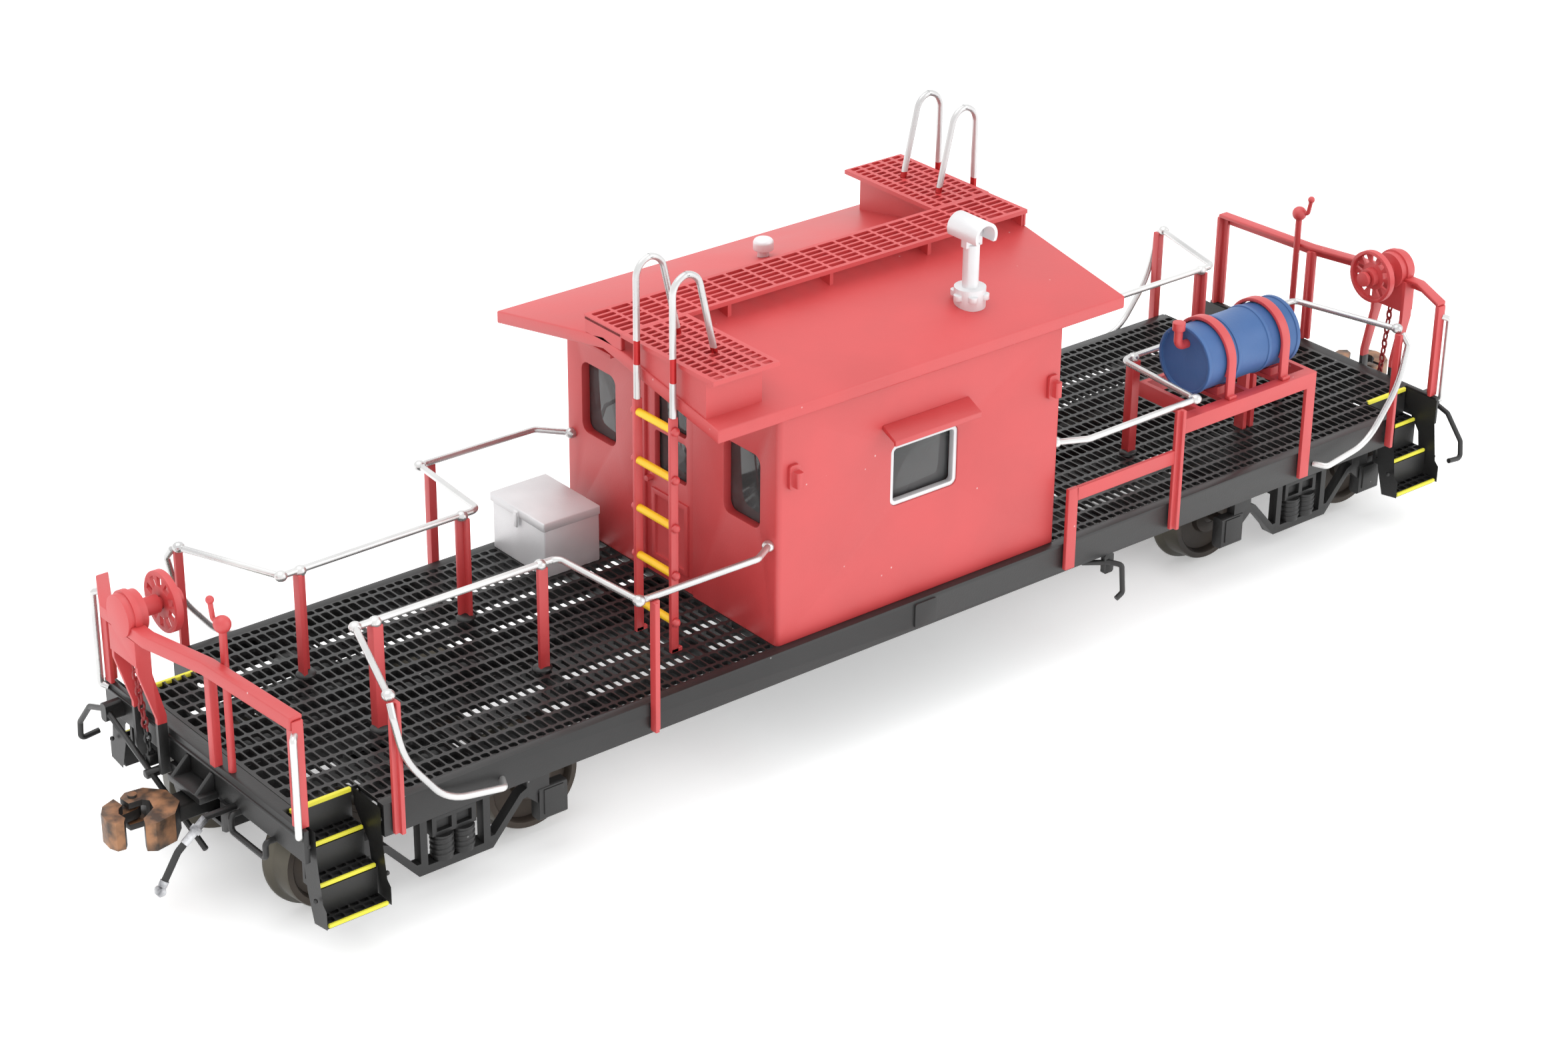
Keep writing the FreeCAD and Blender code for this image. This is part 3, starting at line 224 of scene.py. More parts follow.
def fitted(name, bm, body, slot, material, *stands_for, sharp=35):
    """A finished piece: its mesh closed and turned outwards, on its body, in its finish."""
    bmesh.ops.remove_doubles(bm, verts=bm.verts, dist=0.0000005)
    bmesh.ops.recalc_face_normals(bm, faces=bm.faces)
    mesh = bpy.data.meshes.new(name)
    bm.to_mesh(mesh)
    bm.free()
    mesh.shade_smooth()
    mesh.set_sharp_from_angle(angle=math.radians(sharp))
    mesh.materials.append(material)
    piece = bpy.data.objects.new(name, mesh)
    bpy.context.collection.objects.link(piece)
    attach(piece, body)
    if stands_for:
        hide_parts(*stands_for)
    return piece


def eased(node, width, body, slot, material, steps=2, sharp=35):
    """The node's own shape with its hard edges eased, as they come out of a mould."""
    bm = bmesh.new()
    bm.from_mesh(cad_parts[node].data)
    bmesh.ops.remove_doubles(bm, verts=bm.verts, dist=0.000001)
    bmesh.ops.dissolve_limit(bm, angle_limit=math.radians(0.5), verts=bm.verts, edges=bm.edges)
    hard = [e for e in bm.edges if len(e.link_faces) == 2 and e.calc_face_angle(0) > math.radians(40)]
    if width:
        bmesh.ops.bevel(bm, geom=hard, offset=width, offset_type="OFFSET", segments=steps, profile=0.5,
                        affect="EDGES", clamp_overlap=True, material=-1)
    return fitted(node + "_moulding", bm, body, slot, material, node, sharp=sharp)


red = coat("caboose red", (0.475, 0.032, 0.034), (0.535, 0.043, 0.046), 0.50, specular=0.9)
black = coat("satin black", (0.011, 0.011, 0.011), (0.019, 0.019, 0.019), 0.42, speck=(0.35, 0.35, 0.35))


# ---- Frame: sills and bearers ------------------------------------------------------------
# One black moulding: channels down the sides, a centre sill between the trucks and short
# bearers from one to the other. The end beams carry the railing.

eased("side_sills", 0.00008, "car_body", "black_paint", black)
eased("centre_sill", 0.00010, "car_body", "black_paint", black)
eased("cross_bearers", 0.00006, "car_body", "black_paint", black)
eased("end_sills", 0.00008, "car_body", "black_paint", black)
eased("cabin_floor", 0.00005, "car_body", "black_paint", black)


# ---- Decks: moulded grating --------------------------------------------------------------
# Both decks are open grating, slots in straight rows with a half-row of short ones next to the
# side sills. The steps come up through the outer corners.


def grating(bm, x, y, count, bar, squash, border=(0, 0), top=0.0, depth=0.0004):
    """A flat panel of rounded slots in rows, with an optional plain border round it."""
    size = (x[1] - x[0], y[1] - y[0])
    centre = ((x[0] + x[1]) / 2, (y[0] + y[1]) / 2)
    sheet = bmesh.new()
    bmesh.ops.create_grid(sheet, x_segments=count[0], y_segments=count[1], size=0.5)
    bmesh.ops.scale(sheet, vec=(size[0], size[1], 1), verts=sheet.verts)
    slots = list(sheet.faces)
    bmesh.ops.inset_individual(sheet, faces=slots, thickness=bar)
    for slot in slots:
        middle = Matrix.Translation(-slot.calc_center_median())
        bmesh.ops.scale(sheet, vec=(*squash, 1), space=middle, verts=slot.verts)
    narrow = min(size[0] / count[0], size[1] / count[1]) - 2 * bar
    corners = list({corner for slot in slots for corner in slot.verts})
    bmesh.ops.bevel(sheet, geom=corners, offset=narrow * 0.3, segments=2, profile=0.5, affect="VERTICES",
                    material=-1)
    holes = [face for face in sheet.faces if len(face.verts) > 10]
    bmesh.ops.delete(sheet, geom=holes, context="FACES_ONLY")
    if border[0] or border[1]:
        limit = (size[0] / 2 - 0.000001, size[1] / 2 - 0.000001)
        rim = []
        for edge in sheet.edges:
            middle = (edge.verts[0].co + edge.verts[1].co) / 2
            if abs(middle.x) > limit[0] or abs(middle.y) > limit[1]:
                rim.append(edge)
        grown = bmesh.ops.extrude_edge_only(sheet, edges=rim)
        outer = [item for item in grown["geom"] if isinstance(item, bmesh.types.BMVert)]
        wider = ((size[0] + 2 * border[0]) / size[0], (size[1] + 2 * border[1]) / size[1], 1)
        bmesh.ops.scale(sheet, vec=wider, verts=outer)
    bmesh.ops.recalc_face_normals(sheet, faces=sheet.faces)
    bmesh.ops.solidify(sheet, geom=sheet.faces, thickness=depth)
    lift = top - max(v.co.z for v in sheet.verts)
    bmesh.ops.translate(sheet, vec=(*centre, lift), verts=sheet.verts)
    panel = bpy.data.meshes.new("panel")
    sheet.to_mesh(panel)
    sheet.free()
    bm.from_mesh(panel)
    bpy.data.meshes.remove(panel)


def bar_box(bm, x, y, z, ease=0.0, steps=1):
    """A square-cornered bar between two corners, its edges eased if asked."""
    made = bmesh.ops.create_cube(bm, size=1)
    corners = made["verts"]
    bmesh.ops.scale(bm, vec=(x[1] - x[0], y[1] - y[0], z[1] - z[0]), verts=corners)
    bmesh.ops.translate(bm, vec=((x[0] + x[1]) / 2, (y[0] + y[1]) / 2, (z[0] + z[1]) / 2), verts=corners)
    if ease:
        edges = list({edge for corner in corners for edge in corner.link_edges})
        bmesh.ops.bevel(bm, geom=edges, offset=ease, segments=steps, profile=0.5, affect="EDGES", material=-1)


def deck_panel(node, outer_end, cabin_end, cells, end_cells):
    """The grating of one deck, with the strip at its outer end that the steps leave narrow."""
    low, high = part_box(node)
    top = high[2]
    pitch = (cabin_end - outer_end) / cells
    step_line = outer_end + pitch * end_cells
    bm = bmesh.new()
    along = sorted((outer_end, cabin_end))
    beside = sorted((step_line, cabin_end))
    corner = sorted((outer_end, step_line))
    middle_half = 0.0108
    short_from = 0.0144
    short_to = 0.01535
    step_inner = 0.0123
    bar = 0.00012
    plate = {"top": top, "depth": 0.00035}
    grating(bm, along, (-middle_half, middle_half), (cells, 12), bar, (1, 0.88), **plate)
    for side in (-1, 1):
        middle_rows = sorted((side * middle_half, side * short_from))
        short_row = sorted((side * short_from, side * short_to))
        end_row = sorted((side * middle_half, side * step_inner))
        grating(bm, beside, middle_rows, (cells - end_cells, 2), bar, (1, 0.88), **plate)
        grating(bm, beside, short_row, (cells - end_cells, 1), bar, (1, 0.86), **plate)
        grating(bm, corner, end_row, (end_cells, 1), bar, (1, 0.84), **plate)
    rib_pitch = 0.0036
    rib_half = 0.00018
    for row in range(-4, 5):
        if row:
            rib = row * rib_pitch - math.copysign(rib_pitch / 2, row)
            run = beside if abs(rib) > 0.0110 else along
            bar_box(bm, run, (rib - rib_half, rib + rib_half), (top - 0.0017, top - 0.0002))
    edge = sorted((outer_end, low[0] if outer_end < 0 else high[0]))
    bar_box(bm, edge, (-step_inner, step_inner), (low[2], top))
    return fitted(node + "_grating", bm, "car_body", "black_paint", black, node, sharp=30)


deck_panel("deck_a", -0.0654, -0.01865, 50, 6)
deck_panel("deck_b", 0.0654, 0.0143, 55, 6)


# ---- Steps: pressed stairs at the corners ------------------------------------------------
# Each stair is two flanged side plates with three perforated treads between them. The risers
# are solid, and every nosing is painted bright.

nosing = coat("nosing yellow", (0.62, 0.58, 0.03), (0.78, 0.74, 0.06), 0.5, speck=(0.2, 0.2, 0.1), specks=0.6)
# outline of a side plate, across and up in millimetres, from the deck's edge to the lowest tread
stringer_line = [(-12.3, 12.9), (-16.3, 12.9), (-16.3, 10.4), (-16.85, 6.4), (-17.35, 5.9), (-17.35, 4.2),
                 (-15.4, 3.9), (-14.6, 6.6), (-14.3, 8.8), (-12.3, 11.4)]
stair_side = bmesh.new()
stair_tread = bmesh.new()
stair_nose = bmesh.new()
for end in (-1, 1):
    for side in (-1, 1):
        for inner, outward in ((60.2, -1), (66.3, 1)):
            outline = []
            for y, z in stringer_line:
                outline.append(stair_side.verts.new((end * inner * 0.001, -side * y * 0.001, z * 0.001)))
            plate = stair_side.faces.new(outline)
            bmesh.ops.solidify(stair_side, geom=[plate], thickness=0.0004)
            for y, z in ((-12.9, 12.1), (-12.9, 11.5), (-15.8, 11.5), (-16.3, 6.6)):
                rivet = bmesh.ops.create_uvsphere(stair_side, u_segments=8, v_segments=5, radius=0.00022)
                spot = (end * (inner + 0.36 * outward) * 0.001, -side * y * 0.001, z * 0.001)
                bmesh.ops.translate(stair_side, vec=spot, verts=rivet["verts"])
        treads = 3
        depth = 5.0 / treads
        for step in range(treads):
            far = 12.3 + depth * step
            height = 13.0 - 2.8 * (step + 1)
            x = sorted((end * 0.0604, end * 0.0661))
            y = sorted((side * (far - 0.35) * 0.001, side * (far + depth - 0.3) * 0.001))
            grating(stair_tread, x, y, (6, 2), 0.00012, (1, 1), top=height * 0.001, depth=0.0003)
            bar_box(stair_tread, x, y, ((height - 0.55) * 0.001, (height - 0.3) * 0.001))
            riser = sorted((side * (far - 0.35) * 0.001, side * far * 0.001))
            bar_box(stair_tread, x, riser, (height * 0.001, (height + 2.4) * 0.001))
            lip = sorted((side * (far + depth - 0.32) * 0.001, side * (far + depth) * 0.001))
            bar_box(stair_nose, x, lip, ((height - 0.35) * 0.001, height * 0.001), 0.00008)
        lip = sorted((side * 0.01205, side * 0.0124))
        bar_box(stair_nose, x, lip, (0.0126, 0.01302), 0.00006)
fitted("stair_sides", stair_side, "car_body", "black_paint", black, "steps_a", "steps_b")
fitted("stair_treads", stair_tread, "car_body", "black_paint", black, sharp=30)
fitted("stair_nosings", stair_nose, "car_body", "yellow", nosing)


# ---- Cabin: the box ----------------------------------------------------------------------
# A plastic box with rounded corners and its windows cut through. It is sprayed red outside,
# and its doors are moulded panels set back in their openings.

eased("cabin_shell", 0.00012, "car_body", "red_paint", red)
eased("end_doors", 0.00006, "car_body", "red_paint", red)
eased("awnings", 0.00007, "car_body", "red_paint", red)
eased("marker_brackets", 0.00006, "car_body", "red_paint", red)

silver = coat("silver paint", (0.60, 0.60, 0.61), (0.72, 0.72, 0.73), 0.42, metal=0.35, scale=9000,
              relief=0.5, specks=0.2)
eased("side_window_frames", 0.00007, "car_body", "silver", silver)

glazing = bpy.data.materials.new("window glass")
glazing.use_nodes = True
glazing_tree = glazing.node_tree
glass_shader = glazing_tree.nodes["Principled BSDF"]
glass_shader.inputs["Transmission Weight"].default_value = 0.9
glass_shader.inputs["IOR"].default_value = 1.45
glass_shader.inputs["Roughness"].default_value = 0.04
smear = glazing_tree.nodes.new("ShaderNodeTexNoise")
smear.inputs["Scale"].default_value = 260
smear_tone = glazing_tree.nodes.new("ShaderNodeValToRGB")
smear_tone.color_ramp.elements[0].color = (0.32, 0.33, 0.335, 1)
smear_tone.color_ramp.elements[1].color = (0.44, 0.45, 0.455, 1)
smear_place = glazing_tree.nodes.new("ShaderNodeTexCoord")
glazing_tree.links.new(smear_place.outputs["Object"], smear.inputs["Vector"])
glazing_tree.links.new(smear.outputs["Fac"], smear_tone.inputs["Fac"])
glazing_tree.links.new(smear_tone.outputs["Color"], glass_shader.inputs["Base Color"])
eased("window_panes", 0.00004, "car_body", "clear", glazing)

steel = coat("plain steel", (0.30, 0.30, 0.30), (0.40, 0.40, 0.40), 0.38, metal=1.0, specks=0.0)
eased("ballast_weight", 0.0001, "car_body", "weight", steel)
eased("kingpin_screws", 0.00008, "car_body", "weight", steel)


# ---- Roof: sheet, walks and platforms ----------------------------------------------------
# A low gable with a square rolled edge. The ridge walk stands on triangular plates, and each
# side platform on a box that is open at its inner end. All three have slotted tops.

eased("roof", 0.00015, "car_body", "red_paint", red)
walk = bmesh.new()
low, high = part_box("running_board")
walk_top = high[2]
grating(walk, (low[0] + 0.0003, high[0] - 0.0003), (-0.00243, 0.00243), (22, 6), 0.00018, (0.98, 1),
        (0.0003, 0.0003), top=walk_top, depth=0.0004)
ridge = 39.1
slope = 3.1 / 15.97
under_walk = 39.87
bays = 4
for bay in range(bays + 1):
    at = low[0] + 0.0003 + (high[0] - low[0] - 0.0006) * bay / bays
    for side in (-1, 1):
        brace = [(0.3, ridge - 0.3 * slope), (2.5, ridge - 2.5 * slope), (2.5, under_walk), (0.3, under_walk)]
        corners = [walk.verts.new((at - 0.0002, side * y * 0.001, z * 0.001)) for y, z in brace]
        web = walk.faces.new(corners)
        pushed = bmesh.ops.extrude_face_region(walk, geom=[web])
        moved = [item for item in pushed["geom"] if isinstance(item, bmesh.types.BMVert)]
        bmesh.ops.translate(walk, vec=(0.0004, 0, 0), verts=moved)
bar_box(walk, (low[0] + 0.0002, high[0] - 0.0002), (-0.0004, 0.0004), (0.0391, walk_top - 0.0003))
for x in (low[0], high[0] - 0.0003):
    bar_box(walk, (x, x + 0.0003), (-0.0026, 0.0026), (0.03862, walk_top - 0.0001), 0.00006)
fitted("ridge_walk", walk, "car_body", "red_paint", red, "running_board", sharp=30)

side_walk = bmesh.new()
low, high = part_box("lateral_platforms")
length = 0.00705
cabin_middle = -0.002175
for turn_half in (0, 1):
    part = bmesh.new()
    x0 = low[0]
    grating(part, (x0 + 0.0003, x0 + length - 0.0003), (-0.01525, -0.00285), (5, 16), 0.00018, (0.9, 1),
            (0.0003, 0.0001), top=high[2], depth=0.0004)
    walls = ((14.1, 4.35, 0.2, 0.6), (14.1, 4.35, 5.75, 6.15), (14.1, 13.7, 0.6, 5.75))
    for y_out, y_in, x_near, x_far in walls:
        wall = [(-y_in, ridge - y_in * slope), (-y_out, ridge - y_out * slope), (-y_out, under_walk),
                (-y_in, under_walk)]
        corners = [part.verts.new((x0 + x_near * 0.001, y * 0.001, z * 0.001)) for y, z in wall]
        web = part.faces.new(corners)
        pushed = bmesh.ops.extrude_face_region(part, geom=[web])
        moved = [item for item in pushed["geom"] if isinstance(item, bmesh.types.BMVert)]
        bmesh.ops.translate(part, vec=((x_far - x_near) * 0.001, 0, 0), verts=moved)
    if turn_half:
        bmesh.ops.rotate(part, cent=(cabin_middle, 0, 0), matrix=Matrix.Rotation(math.pi, 3, "Z"),
                         verts=part.verts)
    joined = bpy.data.meshes.new("side walk")
    part.to_mesh(joined)
    part.free()
    side_walk.from_mesh(joined)
    bpy.data.meshes.remove(joined)
fitted("side_platforms", side_walk, "car_body", "red_paint", red, "lateral_platforms", sharp=30)

eased("smoke_jack", 0.00007, "car_body", "silver", silver)
eased("roof_vent", 0.00006, "car_body", "silver", silver)


# ---- Ladders and hoops -------------------------------------------------------------------
# Red angle uprights with yellow rungs soldered through them. Bent wire hoops go on from the
# uprights and turn down onto the platform.

rung_yellow = coat("rung yellow", (0.80, 0.46, 0.01), (0.92, 0.58, 0.02), 0.4)
uprights = bmesh.new()
rungs = bmesh.new()
ladder_x = -26.15
for end in (0, 1):
    centre_x = -2.175

    def put(x, y):
        return ((centre_x - (x - centre_x)) * 0.001 if end else x * 0.001, -y * 0.001 if end else y * 0.001)

    for y in (-10.5, -5.5):
        ax, ay = put(ladder_x - 0.4, y - 0.2)
        bx, by = put(ladder_x + 0.4, y + 0.2)
        bar_box(uprights, sorted((ax, bx)), sorted((ay, by)), (0.013, 0.0354), 0.00006, 2)
        cx, cy = put(ladder_x + 0.8, y + 0.2)
        bar_box(uprights, sorted((ax, cx)), sorted((ay, cy)), (0.013, 0.0134), 0.00005)
    for step in range(5):
        height = (16.0 + 4.55 * step) * 0.001
        x, y = put(ladder_x, -8.0)
        made = bmesh.ops.create_cone(rungs, cap_ends=True, segments=14, radius1=0.00036, radius2=0.00036,
                                     depth=0.0046)
        bmesh.ops.rotate(rungs, matrix=Matrix.Rotation(math.pi / 2, 3, "X"), verts=made["verts"])
        bmesh.ops.translate(rungs, vec=(x, y, height), verts=made["verts"])
        for tip in (-1, 1):
            knob = bmesh.ops.create_uvsphere(uprights, u_segments=10, v_segments=6, radius=0.00042)
            bmesh.ops.translate(uprights, vec=(x, y + tip * 0.0028, height), verts=knob["verts"])
fitted("ladder_uprights", uprights, "car_body", "red_paint", red, "ladders")
fitted("ladder_rungs", rungs, "car_body", "yellow", rung_yellow)

wire = coat("silvered wire", (0.52, 0.52, 0.52), (0.70, 0.70, 0.69), 0.28, metal=0.8, scale=7000, relief=0.4,
            speck=(0.25, 0.24, 0.23), specks=0.8)
for name in ("handrails_a", "handrails_b", "step_grabs", "corner_grabs"):
    eased(name, 0, "car_body", "wire", wire, sharp=50)
hoop_wire = coat("hoop wire", (0.52, 0.52, 0.52), (0.70, 0.70, 0.69), 0.32, metal=0.7, scale=7000, relief=0.4,
                 speck=(0.25, 0.24, 0.23), specks=0.8, dipped=((0.44, 0.026, 0.028), 0.0386, 0.0408, 0.0006))
eased("roof_hoops", 0, "car_body", "wire", hoop_wire, sharp=50)


# ---- Railings ----------------------------------------------------------------------------
# Red angle posts stand on the deck and on the sills. The handrail wires are cemented to their
# heads, and each bead of cement shows as a small silver blob.

for name in ("rail_posts", "end_posts"):
    eased(name, 0.00006, "car_body", "red_paint", red)
for name in ("end_rail_a", "end_rail_b"):
    eased(name, 0.00010, "car_body", "red_paint", red)
eased("valve_pipes", 0.00003, "car_body", "red_paint", red)

beads = bmesh.new()
bead_places = []  # millimetres, at the heads of the posts where a wire bends or ends
for side in (-1, 1):
    bead_places += [(-58.9, 16.2 * side, 22.75), (-55.2, 5.7 * side, 23.1), (-53.3, 5.75 * side, 23.0),
                    (-36.8, 5.85 * side, 23.0), (-34.2, 16.3 * side, 23.1), (-18.9, 14.4 * side, 22.6),
                    (59.1, 16.2 * side, 22.75), (54.0, 5.75 * side, 23.0), (33.2, 5.75 * side, 23.0),
                    (31.0, 16.3 * side, 23.1), (14.55, 14.7 * side, 22.8)]
for x, y, z in bead_places:
    bead = bmesh.ops.create_uvsphere(beads, u_segments=14, v_segments=9, radius=0.00058)
    bmesh.ops.scale(beads, vec=(1.0, 1.0, 0.85), verts=bead["verts"])
    bmesh.ops.translate(beads, vec=(x * 0.001, y * 0.001, z * 0.001), verts=bead["verts"])
fitted("cement_beads", beads, "car_body", "wire", wire, sharp=80)

feet = bmesh.new()
inner_posts = (-53.3, -36.8, 54.0, 33.2)
for x in inner_posts:
    for side in (-1, 1):
        foot = bmesh.ops.create_uvsphere(feet, u_segments=16, v_segments=10, radius=0.00095)
        bmesh.ops.scale(feet, vec=(1.0, 0.9, 0.42), verts=foot["verts"])
        bmesh.ops.translate(feet, vec=(x * 0.001, side * 0.0058, 0.0130), verts=foot["verts"])
fitted("post_foot_cement", feet, "car_body", "black_paint", black, sharp=80)


# ---- Hand brake --------------------------------------------------------------------------
# A round gear case on two cranked legs carries the spindle. A chain hangs between the legs to
# the lever under the sill.

brake_red = coat("brake stand red", (0.475, 0.032, 0.034), (0.535, 0.043, 0.046), 0.50, specular=0.9,
                 dipped=((0.012, 0.012, 0.012), 0.0, 0.0137, 0.0004))
eased("brake_stands", 0.00008, "car_body", "red_paint", brake_red)
for end in ("a", "b"):
    eased("brake_wheel_" + end, 0.00007, "brake_wheel_" + end, "red_paint", red)

chain = bmesh.new()
links = 13
for end in (-1, 1):
    for n in range(links):
        share = n / (links - 1)
        link = bmesh.new()
        bmesh.ops.create_circle(link, segments=6, radius=0.00011)
        bmesh.ops.rotate(link, matrix=Matrix.Rotation(math.pi / 2, 3, "X"), verts=link.verts)
        bmesh.ops.translate(link, vec=(0.00026, 0, 0), verts=link.verts)
        bmesh.ops.spin(link, geom=link.edges[:], cent=(0, 0, 0), axis=(0, 0, 1), angle=math.tau, steps=10,
                       use_merge=True)
        bmesh.ops.scale(link, vec=(1.0, 1.75, 1.0), verts=link.verts)
        bmesh.ops.rotate(link, matrix=Matrix.Rotation(math.pi / 2, 3, "X"), verts=link.verts)
        bmesh.ops.rotate(link, matrix=Matrix.Rotation(math.pi / 2 * (n % 2), 3, "Z"), verts=link.verts)
        spot = (end * (67.95 + 0.9 * share) * 0.001, -end * 0.007, (9.9 + 9.4 * share) * 0.001)
        bmesh.ops.translate(link, vec=spot, verts=link.verts)
        joined = bpy.data.meshes.new("link")
        link.to_mesh(joined)
        link.free()
        chain.from_mesh(joined)
        bpy.data.meshes.remove(joined)
    bar_box(chain, sorted((end * 0.0673, end * 0.0683)), (-end * 0.007 - 0.0004, -end * 0.007 + 0.0004),
            (0.0089, 0.0099), 0.00012, 2)
chain_paint = coat("chain red", (0.20, 0.012, 0.014), (0.42, 0.020, 0.022), 0.5,
                   dipped=((0.012, 0.012, 0.012), 0.0, 0.0122, 0.0006))
fitted("brake_chain_links", chain, "car_body", "red_paint", chain_paint, "brake_chains", sharp=60)


# ---- Couplers ----------------------------------------------------------------------------
# Cast metal heads in a rust brown wash, with painted shade near black on the shank and on the inward
# faces of the knuckle pocket. The draft box is part of the black frame.

rust = coat("rust wash", (0.055, 0.036, 0.024), (0.34, 0.165, 0.078), 0.5, metal=0.2, scale=3200, relief=0.8,
            speck=(0.02, 0.015, 0.012), specks=0.9, patches=650)
# painted shade: a near black finish standing in for the shade inside the knuckle pocket and on the shank in
# the draft box
pocket_shade = coat("coupler painted shade", (0.006, 0.006, 0.006), (0.020, 0.017, 0.015), 0.5, patches=420)
shank_end = 0.0704
pocket_from = 0.0712
pocket_to = 0.0755
pocket_half = 0.0026
pocket_middle = (0.0737, 0.0004)
for end, facing in (("a", -1), ("b", 1)):
    head = eased("coupler_" + end, 0.00012, "coupler_" + end, "rust", rust)
    jaw = eased("knuckle_" + end, 0.00015, "knuckle_" + end, "rust", rust)
    for casting in (head, jaw):
        casting.data.materials.append(pocket_shade)
        # faces turned into the knuckle pocket, and the whole shank, take the painted shade
        for face in casting.data.polygons:
            out = face.center.x * facing
            aside = face.center.y * -facing
            towards = Vector((pocket_middle[0] - out, pocket_middle[1] - aside))
            inward = towards.dot(Vector((face.normal.x * facing, face.normal.y * -facing))) > 0
            within = pocket_from < out < pocket_to and abs(aside) < pocket_half
            recess = inward and within and abs(face.normal.z) < 0.6
            if out < shank_end or recess:
                face.material_index = 1
eased("draft_boxes", 0.00008, "car_body", "black_paint", black)


# ---- Levers, hand holds and hoses --------------------------------------------------------
# Bent black wire for the cut levers and sill hand holds. The hose is one stiff rubbery moulding
# with bright couplings.

for name in ("cut_levers", "sill_grab_irons"):
    eased(name, 0, "car_body", "black_paint", black, sharp=50)
rubber = coat("hose rubber", (0.016, 0.016, 0.016), (0.030, 0.030, 0.030), 0.62, scale=6500, relief=0.6)
eased("air_hoses", 0, "car_body", "rubber", rubber, sharp=50)
worn = coat("worn iron", (0.10, 0.10, 0.11), (0.66, 0.67, 0.69), 0.38, metal=0.5, scale=3000, relief=0.8,
            patches=800)
fitting = eased("hose_fittings", 0.00005, "car_body", "silver", worn)
fitting.data.materials.append(black)
painted_to = 0.0703
for face in fitting.data.polygons:
    if abs(face.center.x) < painted_to:
        face.material_index = 1


# ---- Toolbox -----------------------------------------------------------------------------
# A chest beside the cabin door, with an overhanging lid and a hasp. Both are plastic mouldings
# in silver paint, cemented to the deck.

eased("toolbox_body", 0.00012, "car_body", "silver", silver)
eased("toolbox_lid", 0.00010, "car_body", "silver", silver)


# ---- Fuel drum ---------------------------------------------------------------------------
# A blue drum lies on its side in a red angle stand, held down by two straps. The stand's legs are
# cemented to the deck, and a red spigot is let into the drum's head.

blue = coat("drum blue", (0.028, 0.090, 0.245), (0.045, 0.120, 0.300), 0.48, scale=3000, relief=0.5)
eased("drum", 0.00010, "car_body", "blue", blue)
for name, width in (("drum_straps", 0.00005), ("drum_stand", 0.00006), ("drum_spigot", 0.00004)):
    eased(name, width, "car_body", "red_paint", red)


# ---- Trucks ------------------------------------------------------------------------------
# Black cast frames and bolster, coil springs in the windows, and turned wheels: dark oxidised
# faces with bright treads.

axle_height = 0.00545
tread_from = 0.0046
half_wheelbase = 9.9
truck_places = (("a", -50.9), ("b", 50.9))
for end, truck_x in truck_places:
    eased("sideframes_" + end, 0.00022, "truck_" + end, "black_paint", black, steps=3)
    eased("truck_bolster_" + end, 0.00010, "truck_" + end, "black_paint", black)
    coils = bmesh.new()
    for side in (-1, 1):
        for shift in (-1.05, 1.05):
            coil = bmesh.new()
            bmesh.ops.create_circle(coil, segments=6, radius=0.00020)
            bmesh.ops.rotate(coil, matrix=Matrix.Rotation(math.pi / 2, 3, "X"), verts=coil.verts)
            bmesh.ops.translate(coil, vec=(0.00088, 0, 0), verts=coil.verts)
            bmesh.ops.spin(coil, geom=coil.edges[:], cent=(0, 0, 0), axis=(0, 0, 1), dvec=(0, 0, 0.000036),
                           angle=math.tau * 4, steps=56)
            rims = [edge for edge in coil.edges if edge.is_boundary]
            bmesh.ops.holes_fill(coil, edges=rims, sides=6)
            spot = ((truck_x + shift) * 0.001, side * 0.01235, 0.0034)
            bmesh.ops.translate(coil, vec=spot, verts=coil.verts)
            joined = bpy.data.meshes.new("coil")
            coil.to_mesh(joined)
            coil.free()
            coils.from_mesh(joined)
            bpy.data.meshes.remove(joined)
    fitted("truck_springs_" + end, coils, "truck_" + end, "black_paint", black, sharp=60)

wheel_face = coat("oxidised wheel face", (0.022, 0.018, 0.015), (0.060, 0.045, 0.034), 0.5, metal=0.4,
                  scale=2600, relief=0.4)
wheel_tread = coat("turned tread", (0.045, 0.042, 0.034), (0.11, 0.10, 0.08), 0.36, metal=0.85, scale=2000,
                   relief=0.2, specks=0.1)
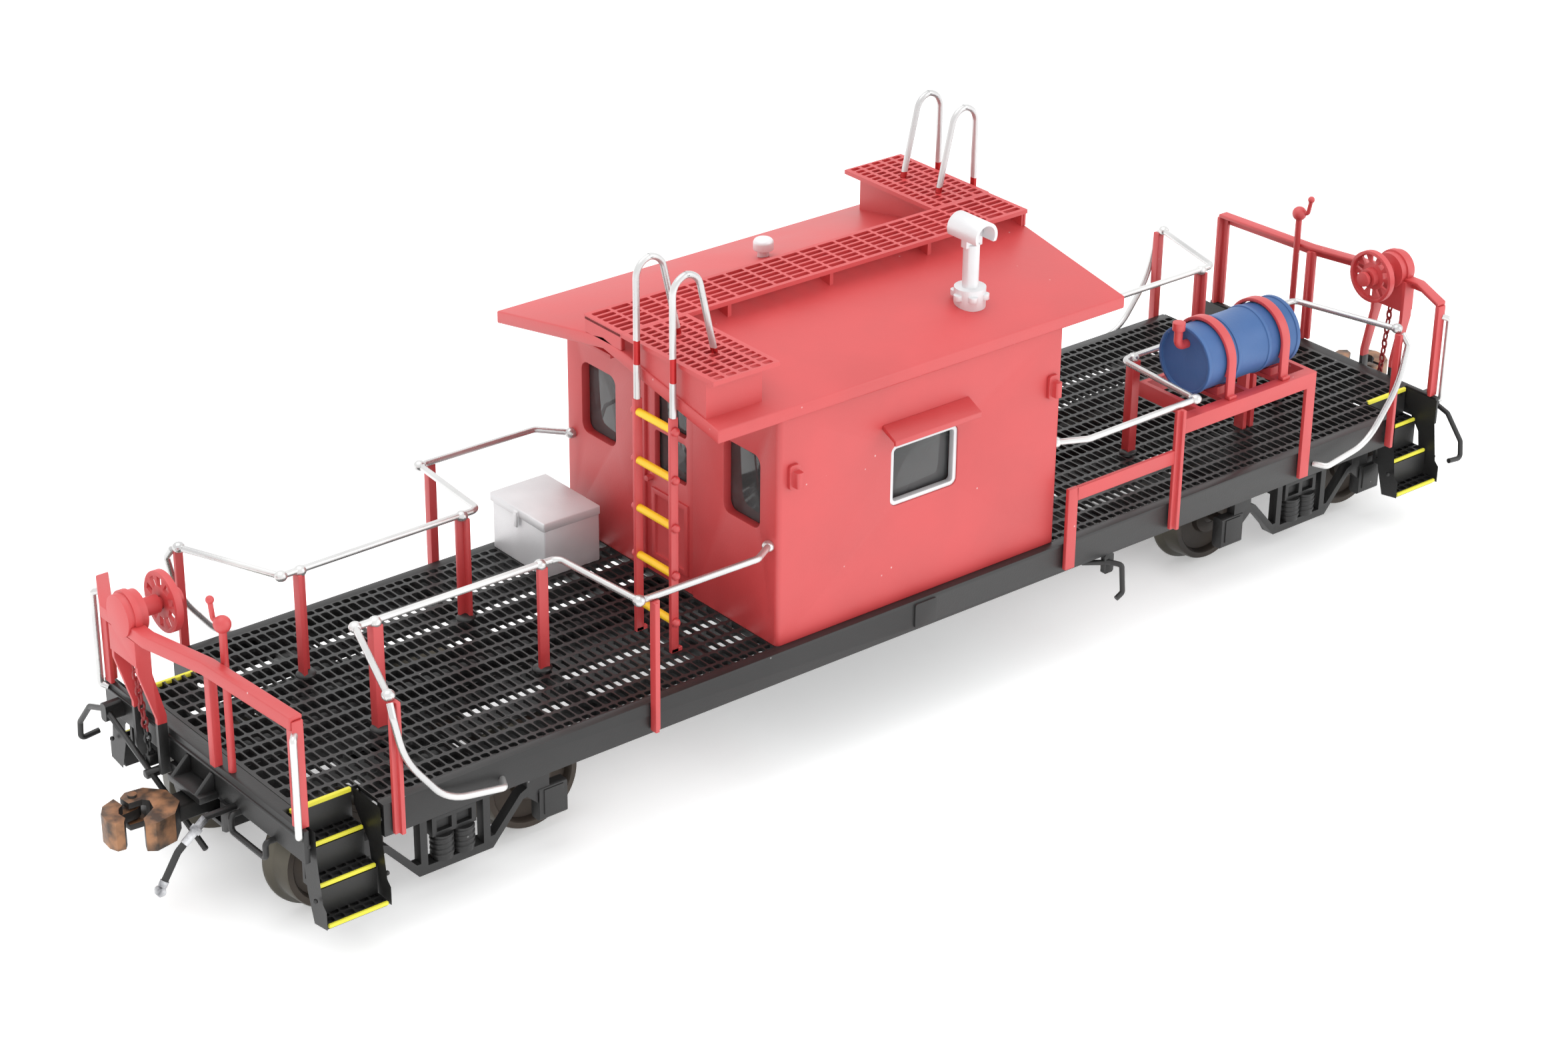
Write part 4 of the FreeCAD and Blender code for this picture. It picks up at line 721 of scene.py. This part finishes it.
# half section of a wheel, radius and distance from the middle of the axle in millimetres
wheel_line = [(0.9, 7.25), (2.0, 7.25), (2.3, 7.75), (3.9, 7.75), (4.1, 7.25), (5.2, 7.25), (5.41, 7.36),
              (5.44, 7.52), (5.35, 7.75), (4.95, 8.0), (4.84, 8.2), (4.72, 9.85), (4.62, 10.02), (4.1, 10.05),
              (3.95, 9.9), (3.85, 9.35), (2.3, 9.3), (2.05, 9.45), (1.9, 10.0), (1.7, 10.05), (0.9, 10.05)]
for end, truck_x in truck_places:
    for where, reach in (("inner", -1), ("outer", 1)):
        x = truck_x + math.copysign(half_wheelbase, truck_x) * reach
        node = "wheelset_%s_%s" % (end, where)
        wheel = bmesh.new()
        for side in (-1, 1):
            first = [wheel.verts.new((r * 0.001, side * w * 0.001, 0)) for r, w in wheel_line]
            line = [wheel.edges.new((a, b)) for a, b in zip(first, first[1:])]
            line.append(wheel.edges.new((first[-1], first[0])))
            bmesh.ops.spin(wheel, geom=first + line, cent=(0, 0, 0), axis=(0, 1, 0), angle=math.tau, steps=64,
                           use_merge=True)
        axle_line = [(0.0, -12.35), (0.42, -12.35), (0.5, -12.2), (0.5, -10.2), (0.95, -10.0), (0.95, -6.6),
                     (0.8, -6.0), (0.8, 6.0), (0.95, 6.6), (0.95, 10.0), (0.5, 10.2), (0.5, 12.2),
                     (0.42, 12.35), (0.0, 12.35)]
        shaft = [wheel.verts.new((r * 0.001, w * 0.001, 0)) for r, w in axle_line]
        shaft_line = [wheel.edges.new((a, b)) for a, b in zip(shaft, shaft[1:])]
        bmesh.ops.spin(wheel, geom=shaft + shaft_line, cent=(0, 0, 0), axis=(0, 1, 0), angle=math.tau,
                       steps=32, use_merge=True)
        bmesh.ops.translate(wheel, vec=(x * 0.001, 0, axle_height), verts=wheel.verts)
        body = "wheels_%s_%s" % (end, where)
        piece = fitted(node + "_turned", wheel, body, "wheel_steel", wheel_face, node, sharp=40)
        piece.data.materials.append(wheel_tread)
        for face in piece.data.polygons:
            radius = math.hypot(face.center.x - x * 0.001, face.center.z - axle_height)
            if radius > tread_from:
                face.material_index = 1
